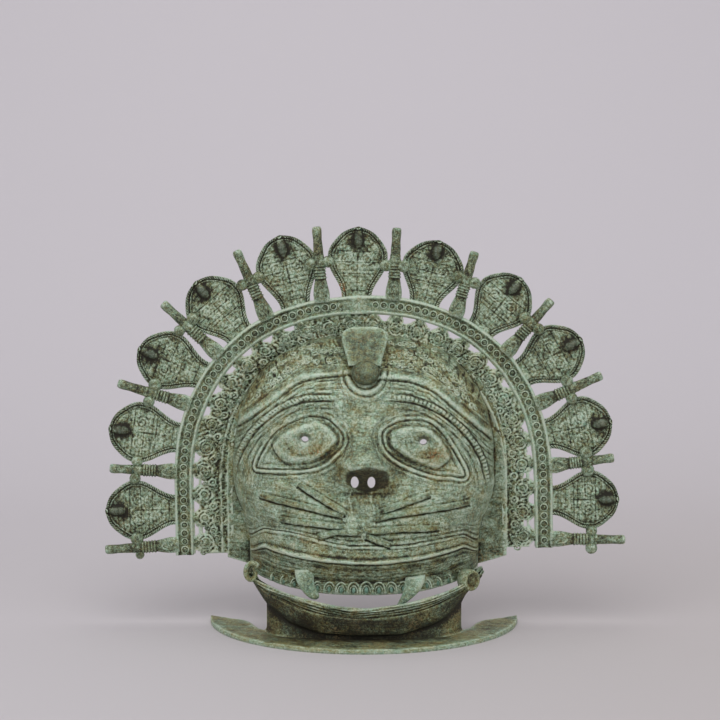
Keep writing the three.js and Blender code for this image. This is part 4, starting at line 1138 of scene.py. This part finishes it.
def flange_edge(x, z):
    """The point of the flange's outline that faces a point of the arch."""
    up = np.maximum(0, (z - ARCH_Z) / ARCH_RISE)
    out = np.minimum(1, np.abs(x - ARCH_X) / ARCH_HALF_WIDTH)
    angle = np.arctan2(up ** (ARCH_POWER / 2), np.maximum(out, 1e-4) ** (ARCH_POWER / 2))
    middle, half = sum(FLANGE_SIDES) / 2, (FLANGE_SIDES[1] - FLANGE_SIDES[0]) / 2
    arc = z > ARCH_Z
    ex = middle + np.sign(x) * half * np.where(arc, np.cos(angle) ** (2 / FLANGE_POWER), 1)
    ez = np.where(arc, blend(ARCH_FOOT, FLANGE_TOP, np.sin(angle) ** (2 / FLANGE_POWER)), z)
    return ex, ez


def across_lace(length):
    """Where a line across the lace starts on the band, its direction inward and its length."""
    x, z, _, _ = inner_arch.point(length)
    ex, ez = flange_edge(x, z)
    span = np.hypot(ex - x, ez - z)
    return x, z, (ex - x) / span, (ez - z) / span, span


LACE_COLUMNS, LACE_ROWS = 640, 34
lace_run = np.linspace(1.0, inner_arch.total - 1.0, LACE_COLUMNS)
ax, az, gx, gz, span = across_lace(lace_run)
share = np.linspace(0, 1, LACE_ROWS)[:, None]
inward = -LACE_OVER_BAND + share * (span + LACE_OVER_BAND + LACE_OVER_FLANGE)
x = ax + gx * inward
z = az + gz * inward
cell = inner_arch.total / LACE_CELLS
along = lace_run[None, :] + 0 * inward
phase = (along / cell) % 1 - 0.5
# rosettes under the balls, small rings and fans between them, and a worn surface over all
r = np.hypot(phase * cell, inward - ROSETTES_IN)
petal = np.cos(np.arctan2(inward - ROSETTES_IN, phase * cell) * 8)
height = 0.25 * wobble(x, z, 5, 60, 12) + 0.3 * wobble(x, z, 12, 61)
height += ridges(r, ((1.5, 4.0, 1.0), (1.5, 0, 1.6), (0.9, 7.2, 0.9))) + 0.5 * petal * bump(r - 6.0, 1.2)
off = (phase % 1) - 0.5
height += ridges(np.hypot(off * cell, inward - RINGS_IN), ((1.3, 3.0, 0.9), (1.2, 0, 1.2)))
fan = np.arctan2(off * cell, inward - FANS_IN)
reach = np.hypot(off * cell, inward - FANS_IN)
height += 1.4 * np.maximum(0, np.cos(fan * 5)) * bump(reach - 7.5, 3.0) * smooth(1.2, 0.9, np.abs(fan))
height += 1.2 * bump(inward - 26.5, 1.0)
eaten = wobble(x, z, 9, 62, 12) * 0.7 + wobble(x, z, 4, 63, 12) * 0.5
height -= 0.8 * smooth(0.3, 1.4, eaten)
height = height * smooth(-2, 1, inward) + 1.0 * smooth(span - 3, span + 2, inward)
nearest = np.round(along / cell)
from_slit = np.abs(along - nearest * cell)
edge = blend(6.6, 2.3, clamp((inward - 0.6) / 5.2)) + 0.8 * wobble(x, z, 7, 64)
pierced = (from_slit < edge) & (inward > 0.4) & (inward < 6.0 + 0.9 * wobble(x, z, 10, 65))
for closed in CLOSED_SLITS:
    pierced &= nearest != closed
for hx, hz, wide, tall in SMALL_HOLES:
    pierced |= np.hypot((x - hx) / wide, (z - hz) / tall) < 1
pierced |= (z < 150) & (inward > 7.5) & (inward < 11.5) & (from_slit < 3.2) & (nearest % 2 == 1)
cells = ~(pierced[:-1, :-1] & pierced[1:, 1:] | pierced[1:, :-1] & pierced[:-1, 1:])
tx, tz = turned(x, z)
lace = shell("lace", at(tx, LACE_FACE + height, tz), at(tx, SHEET_BACK, tz), cells)
x, depth, z, out = millimetres(lace)
store(lace, "soot", np.where(out[:, 1] > 0.5, 0.3, 0.0))
store(lace, "stain", 0.1 + 0.25 * smooth(190, 240, z))
lace_finish = patina("lace patina", light=0.18, contrast=1.4, earth=0.55)
finished(lace, lace_finish, fine=1.1, broad=0.6)


def scroll(name, radius, turns, thick):
    """A small curl of wax thread that lies flat and looks forward."""
    angle = np.linspace(0, turns * 2 * pi, 11)
    r = radius * (1 - 0.75 * angle / angle[-1])
    path = np.stack([r * np.cos(angle), 0 * angle, r * np.sin(angle)], -1) * MM
    return mesh_object(name, *thread(path, thick, 4))


rng = np.random.default_rng(31)
places = []
for k in range(LACE_SCROLLS):
    cx, cz, gx, gz, span = across_lace((k + rng.uniform(0.2, 0.8)) * inner_arch.total / LACE_SCROLLS)
    inset = rng.uniform(7.5, max(9.0, span - 1))
    px, pz = turned(cx + gx * inset, cz + gz * inset)
    grow = rng.uniform(0.75, 1.35)
    place = at(px, LACE_FACE + rng.uniform(0.5, 1.5), pz)
    places.append((place, (0, rng.uniform(0, 2 * pi), 0), (grow, 1, grow * rng.choice((-1, 1)))))
repeated("lace_scrolls", scroll("scroll", 2.9, 1.15, 0.8), places, lace_finish, stain=0.15)
rng = np.random.default_rng(12)
ball_places, rosette_places = [], []
for k in range(LACE_CELLS):
    cx, cz, gx, gz, span = across_lace((k + 0.5) * cell)
    for inset, least, proud, group in ((BALLS_IN, 0, 1.2, ball_places), (ROSETTES_IN, 15, 0.2, rosette_places)):
        if span < least:
            continue
        px, pz = turned(cx + gx * inset, cz + gz * inset)
        grow = 1 + rng.uniform(-0.15, 0.12)
        group.append((at(px, LACE_FACE + proud, pz), (0, 0, 0), (grow, grow, grow)))
repeated("lace_knobs", soft_ball("knob", 3.1, 10, 7), ball_places, lace_finish, soot=0.35, stain=0.1)
ROSETTE_PROFILE = ((4.8, -0.3), (4.7, 1.0), (4.0, 1.7), (3.1, 1.0), (2.4, 0.7), (1.9, 1.6), (1.0, 2.2), (0.1, 2.3))
rosette = lathe("rosette", ROSETTE_PROFILE, 14)
repeated("lace_rosettes", rosette, rosette_places, lace_finish, soot=0.1, stain=0.2)


# Forehead: a plain shield-shaped plate that leans back over the diadem, with a round boss in front of it
# Both are lumps of wax pressed on before casting, and the boss is rubbed dark and smooth by hands. Small curls and
# seeds of wax are strewn over the diadem on both sides of the plate.
PLATE_STATIONS = (
    (0, 14.5), (0.18, 16), (0.36, 17.8), (0.54, 19.6), (0.7, 20.8), (0.82, 20.6), (0.9, 18.5), (0.96, 14.5), (1, 9),
)
PLATE_FOOT, PLATE_TIP = (60.0, 249.0), (42.0, 282.5)
across = np.linspace(-1, 1, 25)
plate_rows = np.array(PLATE_STATIONS)
t = np.linspace(0, 1, 30)
half = np.interp(t, plate_rows[:, 0], plate_rows[:, 1])
x = half[:, None] * across[None, :] + 0.5
crown_shape = 2.3 * (1 - across[None, :] ** 4) * (1 - (2 * t[:, None] - 1) ** 8)
z = blend(PLATE_FOOT[1], PLATE_TIP[1], t)[:, None] + 0 * x
depth = blend(PLATE_FOOT[0], PLATE_TIP[0], t)[:, None] + crown_shape
front = at(x, depth + 0.8 + 0.25 * wobble(x, z, 11, 70), z)
plate = shell("forehead_plate", front, at(x, depth - 15, z - 3))
finished(plate, patina("plate patina", light=-0.10, contrast=0.8, earth=0.2, bump=0.6), soot=0.03)


def on_face(x, z, lift):
    """The place on the face at x, z and the turn that stands a shape upright on it."""
    near = np.array([(x, z), (x + 2, z), (x, z + 2)])
    a, b, c = at(near[:, 0], face_form(near[:, 0], near[:, 1]), near[:, 1])
    out = Vector(np.cross(b - a, c - a).tolist()).normalized()
    turn = Vector((0, -1, 0)).rotation_difference(out)
    return a + np.array(out) * lift * MM, tuple(turn.to_euler())


FLORET_ROWS, FLORET_TRIES = (11.5, 18.5, 26.5), 420
rng = np.random.default_rng(37)
curls, knobs_on = [], []
for k in range(FLORET_TRIES):
    px = rng.uniform(-103, 103)
    above = (FLORET_ROWS[k % 3] + rng.uniform(-1.8, 1.8)) * (1 if abs(px) < 45 else 1.25)
    pz = float(ledge_height(np.array(px))) + above
    if abs(px - 1) < 23 or abs(px) > 0.9 * float(face_half(np.array(pz))) or pz > 264:
        continue
    place, turn = on_face(px, pz, float(face_relief(np.array([px]), np.array([pz]))[0][0]) + 0.5)
    grow = rng.uniform(0.7, 1.2)
    if rng.uniform() < 0.55:
        spin = (Euler(turn).to_matrix() @ Matrix.Rotation(rng.uniform(0, 2 * pi), 3, "Y")).to_euler()
        curls.append((place, tuple(spin), (grow, 1, grow)))
    else:
        knobs_on.append((place, turn, (grow, grow, grow)))
repeated("diadem_florets", scroll("floret", 2.9, 1.1, 1.05), curls, lace_finish, soot=-0.34, stain=0.3)
seed = lathe("seed", ((2.0, -0.8), (2.1, 0.2), (1.5, 1.0), (0.1, 1.3)), 8)
repeated("diadem_seeds", seed, knobs_on, lace_finish, soot=-0.12, stain=0.4)
BOSS = (1.3, 65.0, 243.0)
boss_profile = [(12.6, -6), (12.7, 0.5), (12.2, 3.4), (10.6, 6.3), (8, 8.4), (4.6, 9.6), (1.6, 10), (0.15, 10.05)]
boss = lathe("forehead_boss", boss_profile, 30, 0.86)
boss.data.transform(Matrix.Translation(Vector(at(*BOSS).tolist())))
x, depth, z, out = millimetres(boss)
# Painted shade darkens the boss towards its rim, and a painted sheen lightens a spot above its middle.
painted_sheen = spot(x, z, (BOSS[0] + 1, BOSS[2] + 2.5), (5.5, 4))
store(boss, "soot", 0.18 + 0.3 * smooth(8, 12.5, np.hypot(x - BOSS[0], z - BOSS[2])) - 0.45 * painted_sheen)
finished(boss, patina("boss patina", light=-0.10, contrast=0.7, earth=0.4, speckle=0.9, bump=0.5))


# Whiskers: eight thin bars laid on the muzzle
# They are wax bars pressed onto the cheeks, rounded above and sharp below, and they taper to both ends.
def smooth_line(corners, count, rounds):
    """Evenly spaced points along a bent line, with its corners rounded off."""
    corners = np.array(corners, float)
    run = np.concatenate([[0], np.cumsum(np.linalg.norm(np.diff(corners, axis=0), axis=1))])
    even = np.linspace(0, run[-1], count)
    line = np.stack([np.interp(even, run, values) for values in corners.T], -1)
    for _ in range(rounds):
        line[1:-1] = 0.25 * line[:-2] + 0.5 * line[1:-1] + 0.25 * line[2:]
    return line


def joined(bodies):
    """Points and faces of several bodies in one."""
    points, faces = [], []
    for more, sides in bodies:
        first = sum(len(p) for p in points)
        points.append(more)
        faces += [tuple(first + n for n in f) for f in sides]
    return np.vstack(points), faces


BAR_STEPS = 40
BAR_SECTION = np.array([(-2.5, -2.5), (-2.6, 1.6), (-1.9, 3.3), (-0.3, 3.7), (1.2, 3.0), (2.2, 1.4), (2.6, -2.5)])
from_end = np.minimum(np.arange(BAR_STEPS), np.arange(BAR_STEPS)[::-1])
taper = np.minimum(1, from_end / 4 * 0.5 + 0.45)
bars = []
for corners in WHISKERS:
    line = smooth_line(corners, BAR_STEPS, 5)
    depth = face_form(line[:, 0], line[:, 1])
    direction = np.gradient(line, axis=0)
    direction = direction / np.linalg.norm(direction, axis=1, keepdims=True)
    up = np.stack([-direction[:, 1], direction[:, 0]], -1) * np.sign(direction[:, :1] + 1e-9)
    rings = []
    for k in range(BAR_STEPS):
        wide = taper[k] * (1 + 0.08 * sin(k * 0.9))
        px = line[k, 0] + up[k, 0] * BAR_SECTION[:, 0] * wide
        pz = line[k, 1] + up[k, 1] * BAR_SECTION[:, 0] * wide
        rings.append(at(px, depth[k] + BAR_SECTION[:, 1] * taper[k], pz))
    bars.append(swept(rings))
whiskers = mesh_object("whiskers", *joined(bars))
tidy(whiskers)
finished(whiskers, face_finish, soot=-0.12, stain=0.05)


# Upper teeth: a row of small arched teeth under the lip, and two fangs
# Each tooth is a pressed arch with a blue-green hollow, worn towards the corners. The fangs are thick and blunt.
def tooth(name, wide, tall):
    angle = np.linspace(0, pi, 9)
    outer = [(-wide, 0)] + [(-wide * cos(a), tall * (0.35 + 0.65 * sin(a))) for a in angle] + [(wide, 0)]
    path = [(px * MM, -0.4 * MM, pz * MM) for px, pz in outer]
    within = [(px * 0.66, py - 0.3 * MM, pz * 0.7) for px, py, pz in path]
    drop = soft_ball("drop", 1.0)
    centre = np.array([0, -0.2 * MM, tall * 0.34 * MM])
    inner = column(drop.data.vertices, "co") * (wide * 0.36, 1.6, tall * 0.28) + centre
    sides = [tuple(side.vertices) for side in drop.data.polygons]
    points, faces = joined([thread(path, 1.0, 5), thread(within, 0.75, 5), (inner, sides)])
    bpy.data.objects.remove(drop)
    made = mesh_object(name, points, faces)
    store(made, "blue", 0.55 * (np.arange(len(points)) >= len(points) - len(inner)))
    tidy(made)
    return made


TOOTH_PITCH = 11.6
places = []
for k in range(-8, 9):
    tx = 2 + k * TOOTH_PITCH * (1 - 0.010 * abs(k))
    if abs(tx) > 99:
        continue
    beside = np.array([tx - 2, tx, tx + 2])
    bottom = mouth_heights(beside)[0]
    tz = bottom[1] + 0.8
    depth = face_form(beside, np.full(3, tz + 5))
    size = 1 - 0.045 * abs(k)
    slope, tilt = (depth[2] - depth[0]) / 4, (bottom[2] - bottom[0]) / 4
    places.append((at(tx, depth[1] + 0.6, tz), (0, -tilt * 0.9, slope), (size, 1, size)))
teeth_finish = patina("teeth patina", light=0.17, contrast=1.2, earth=0.3)
repeated("upper_teeth", tooth("tooth", 5.3, 11.5), places, teeth_finish, soot=0.05, stain=0.1)
FANGS = (
    (
        (-53.5, 67, 79, 9.0), (-53.5, 61, 82, 8.6), (-52.5, 55.5, 84.5, 7.4), (-50.4, 51, 86, 6.5),
        (-47.8, 47.2, 87.5, 6.2), (-45.4, 44.0, 88.5, 5.4), (-44.0, 41.8, 88.8, 3.6), (-43.4, 41.0, 88.8, 1.2),
    ),
    (
        (46.0, 61, 81, 9.2), (45.4, 55.5, 84, 9.0), (43.6, 50, 86.5, 8.2), (40.8, 45.4, 88.5, 7.0),
        (37.0, 41.2, 90, 5.4), (33.8, 38, 91.5, 4.0), (31.6, 35.6, 92, 2.6), (30.8, 34.6, 92, 1.0),
    ),
)
FANG_STEPS, FANG_SIDES = 28, 18
angle = np.linspace(0, 2 * pi, FANG_SIDES, endpoint=False)
c, s = np.cos(angle), np.sin(angle)
thick_teeth = []
for stations in FANGS:
    line = smooth_line(stations, FANG_STEPS, 3)
    rings = [at(px + r * c, depth + r * 0.55 * s, pz + r * 0.12 * c) for px, pz, depth, r in line]
    thick_teeth.append(swept(rings))
fangs = mesh_object("fangs", *joined(thick_teeth))
tidy(fangs)
store(fangs, "blue", np.full(len(fangs.data.vertices), 0.14))
finished(fangs, patina("fang patina", light=0.04, contrast=1.2, earth=0.45), soot=-0.05, stain=0.1)


# Jaw, neck and collar: a bowl-shaped lower jaw on half a neck, standing on a flat crescent collar
# The jaw's rolled lip carries fine threads. The collar is a thick plate with a dark, worn edge; it is the foot
# that the mask stands on.
RIM_HALF, RIM_BACK, RIM_FRONT, RIM_Z, RIM_CORNER_Z = 107.0, 36.0, 97.0, 34.6, 57.0
FOLD_HALF, FOLD_BACK, FOLD_FRONT, FOLD_Z, FOLD_CORNER_Z = 104.0, 33.0, 92.0, 9.0, 54.0
NECK_HALF, NECK_BACK, NECK_FRONT, NECK_Z, NECK_CORNER_Z = 89.0, 50.0, 86.0, 7.0, 30.0
UNDER = 1.2
COLLAR_HALF, COLLAR_BACK, COLLAR_FRONT, COLLAR_THICK = 144.0, -12.0, 129.0, 4.0
WING = ((-144, -12), (-125, 0), (-112, 6), (-104, 22), (-97, 42), (-91, 48), (-86, 50))


def jaw_form(share, angle):
    """A point of the jaw's sheet; share is 0 at the lip, 1 at the fold, UNDER at the neck and 2 at the collar."""
    sine, cosine = np.sin(angle), np.maximum(0, np.cos(angle))
    side = np.abs(sine)
    rim = (RIM_HALF, blend(RIM_BACK, RIM_FRONT, cosine**0.9), blend(RIM_Z, RIM_CORNER_Z, side**1.6))
    fold = (FOLD_HALF, blend(FOLD_BACK, FOLD_FRONT, cosine**0.85), blend(FOLD_Z, FOLD_CORNER_Z, side**3.2))
    neck = (NECK_HALF, blend(NECK_BACK, NECK_FRONT, cosine**0.8), blend(NECK_Z, NECK_CORNER_Z, side**3))
    bowl, under, down = clamp(share), clamp((share - 1) / (UNDER - 1)), clamp((share - UNDER) / (2 - UNDER))
    half, depth, z = (blend(blend(a, b, bowl), c, under) for a, b, c in zip(rim, fold, neck))
    z = blend(z, COLLAR_THICK * 0.5, down)
    swelling = 2.2 * bump(share - 0.10, 0.08) - 1.0 * bump(share - 0.30, 0.07) + 1.8 * np.sin(pi * bowl) ** 0.7
    foot = 2.5 * smooth(0.8, 1, down) * side**2
    return (half + swelling + foot) * sine, depth + swelling * cosine, z


JAW_COLUMNS = 240
share = np.concatenate([np.linspace(0, 1, 60), np.linspace(1.03, UNDER, 6), np.linspace(UNDER + 0.06, 2, 14)])
share = share[:, None]
angle = np.linspace(-pi / 2, pi / 2, JAW_COLUMNS)[None, :]
x, depth, z = jaw_form(share, angle)
front = at(x, depth, z)
outward = normals_of(front)
run = share * 32 + 1.3 * wobble(x, share * 60, 60, 80)
threads = smooth(0.02, 0.06, share) * smooth(0.42, 0.3, share)
faint = smooth(0.35, 0.45, share) * smooth(1.0, 0.9, share)
lift = 0.5 * wobble(x, z + depth * 0.5, 26, 81) + (0.4 * threads + 0.05 * faint) * np.sin(run * 2 * pi / 2.9)
lift += ridges(share, ((1.0, 0.03, 0.03), (-0.9, 0.17, 0.02), (-0.9, 0.36, 0.03)))
ends = np.minimum(np.arange(JAW_COLUMNS), np.arange(JAW_COLUMNS)[::-1])
carved = front + outward * (lift * smooth(0, 6, ends)[None, :])[..., None] * MM
# Painted shade darkens the bowl towards its bottom and in the fold under its front; the noise and the groove under
# the lip are grime, and the neck below is lighter.
dark = 0.12 * wobble(x, z * 2, 30, 85) + 0.35 * smooth(0.12, 0.3, share) + 0.40 * smooth(0.3, 0.5, share)
dark += 0.25 * smooth(0.85, 1.0, share) - 0.50 * smooth(UNDER, UNDER + 0.2, share)
dark += 0.5 * bump(share - 0.13, 0.07) * (0.35 + 0.65 * np.sin(angle) ** 2)
middle = np.cos(angle) ** 2
dark += 0.5 * middle * smooth(1.0, UNDER, share) - 0.12 * smooth(0.0, 0.5, np.abs(np.sin(angle)))
fields = {
    "soot": clamp(dark),
    "stain": 0.15 + 0.35 * smooth(UNDER, UNDER + 0.1, share) * (1 - middle),
    "lines": run * 1.3,
    "along": x,
    "lined": 0.15 + 0.6 * smooth(0.45, 0.3, share),
}
jaw = shell("jaw", carved, front - outward * WALL * MM, fields=fields)
finished(jaw, patina("jaw patina", light=-0.02, earth=0.8), fine=0.7)

COLLAR_COLUMNS, COLLAR_ROWS = 200, 24
angle = np.linspace(0, pi, COLLAR_COLUMNS)
reach = COLLAR_FRONT - COLLAR_BACK
outer = np.stack([-COLLAR_HALF * np.cos(angle), COLLAR_BACK + reach * np.sin(angle)], -1)
arc = np.linspace(0, pi, 60)
inner_half = NECK_HALF - WALL
inner = np.stack([-inner_half * np.cos(arc), blend(NECK_BACK, NECK_FRONT - WALL, np.sin(arc) ** 0.8)], -1)
wing = np.array(WING, float)
inner = np.vstack([wing, inner[1:-1], wing[::-1] * (-1, 1)])
inner = smooth_line(inner, COLLAR_COLUMNS, 3)
share = np.linspace(0, 1, COLLAR_ROWS)[:, None]
plan = blend(inner[None], outer[None], share[..., None])
px, pz = plan[..., 0], plan[..., 1]
lift = 0.3 * wobble(px, pz, 30, 90) + 0.15 * wobble(px, pz, 9, 91) - 0.9 * smooth(0.94, 1, share) - 0.2
# Painted shadow of the jaw and neck on the collar's top, strongest in the middle.
neck_shadow = np.exp(-np.maximum(0, np.hypot(px / 95, (pz - 60) / 42) - 0.7) * 3.2) * smooth(10, 50, pz)
fields = {
    "soot": clamp(0.95 * neck_shadow * smooth(110, 60, np.abs(px)) + 0.45 * smooth(0.965, 0.99, share)),
    "stain": 0.25 + 0.25 * wobble(px, pz, 40, 92),
    "lines": share * 14 + wobble(px, pz, 60, 93),
    "along": px,
    "lined": 0.08,
}
collar = shell("collar", at(px, pz, COLLAR_THICK + np.minimum(0, lift)), at(px, pz, 0 * px), fields=fields)
finished(collar, patina("collar patina", light=-0.04, contrast=0.9, earth=0.9), fine=0.25, broad=0.3)


# Corners of the mouth: a small ornament of wax at each end of the lips
# The left one is a thread rolled into a curl, the right one a ring with a knob in it.
corner_finish = patina("corner patina", light=-0.04, contrast=1.1, earth=0.8)
CURL_STEPS = 40
turn = np.linspace(0.2 * pi, 3.1 * pi, CURL_STEPS)
reach = np.linspace(7.8, 1.6, CURL_STEPS)
coil = at(-102 + 0.85 * reach * np.cos(turn), 63 - 1.5 * np.sin(turn), 60 + 1.15 * reach * np.sin(turn))
curl = mesh_object("corner_curl", *thread(coil, np.linspace(2.9, 1.8, CURL_STEPS), 8))
tidy(curl)
finished(curl, corner_finish, soot=0.18, stain=0.4)
RING_PROFILE = (
    (9.2, -9), (9.3, 0), (8.6, 2.2), (7.2, 2.8), (6.0, 1.5), (4.2, 1.0), (3.4, 2.2), (1.8, 3.2), (0.1, 3.4),
)
ring = lathe("corner_ring", RING_PROFILE, 24, 1.05)
ring.data.transform(Matrix.Rotation(radians(38), 4, "Z"))
ring.data.transform(Matrix.Translation(Vector(at(97, 68, 54).tolist())))
finished(ring, corner_finish, soot=0.15, stain=0.3)


# Ground: a pale seamless sweep of paper
# It is the studio's floor and wall in one, and isn't part of the mask.
SWEEP_FRONT, SWEEP_BACK, SWEEP_BEND, SWEEP_HEIGHT = -3.0, 1.6, 1.0, 3.2
bend = [(SWEEP_BACK + SWEEP_BEND * (sin(a) - 1), SWEEP_BEND * (1 - cos(a))) for a in np.linspace(0, pi / 2, 25)]
profile = [(SWEEP_FRONT, 0.0), *bend, (SWEEP_BACK, SWEEP_HEIGHT)]
points = [(sx, sy, sz) for sy, sz in profile for sx in (-3.5, 3.5)]
faces = [(2 * k, 2 * k + 1, 2 * k + 3, 2 * k + 2) for k in range(len(profile) - 1)]
sweep = mesh_object("studio_sweep", points, faces)
# Painted light and shade: the paper is painted lighter up the wall and darker on the right of the floor.
LIT_WALL_PAPER, FLOOR_LEFT, SHADED_FLOOR_RIGHT = (0.575, 0.545, 0.562, 1), (0.545, 0.515, 0.520, 1), (0.510, 0.475, 0.465, 1)
paper = Finish("studio paper")
sideways = paper.node("ShaderNodeSeparateXYZ", values={"Vector": paper.coordinates})
backward = paper.node("ShaderNodeSeparateXYZ", values={"Vector": paper.coordinates}, output=1)
floor = paper.mixed(paper.between(sideways, -0.35, 0.45), FLOOR_LEFT, SHADED_FLOOR_RIGHT)
paper.feed(paper.shader.inputs["Base Color"], paper.mixed(paper.between(backward, 0.1, 1.3), floor, LIT_WALL_PAPER))
paper.shader.inputs["Roughness"].default_value = 0.95
sweep.data.materials.append(paper.material)
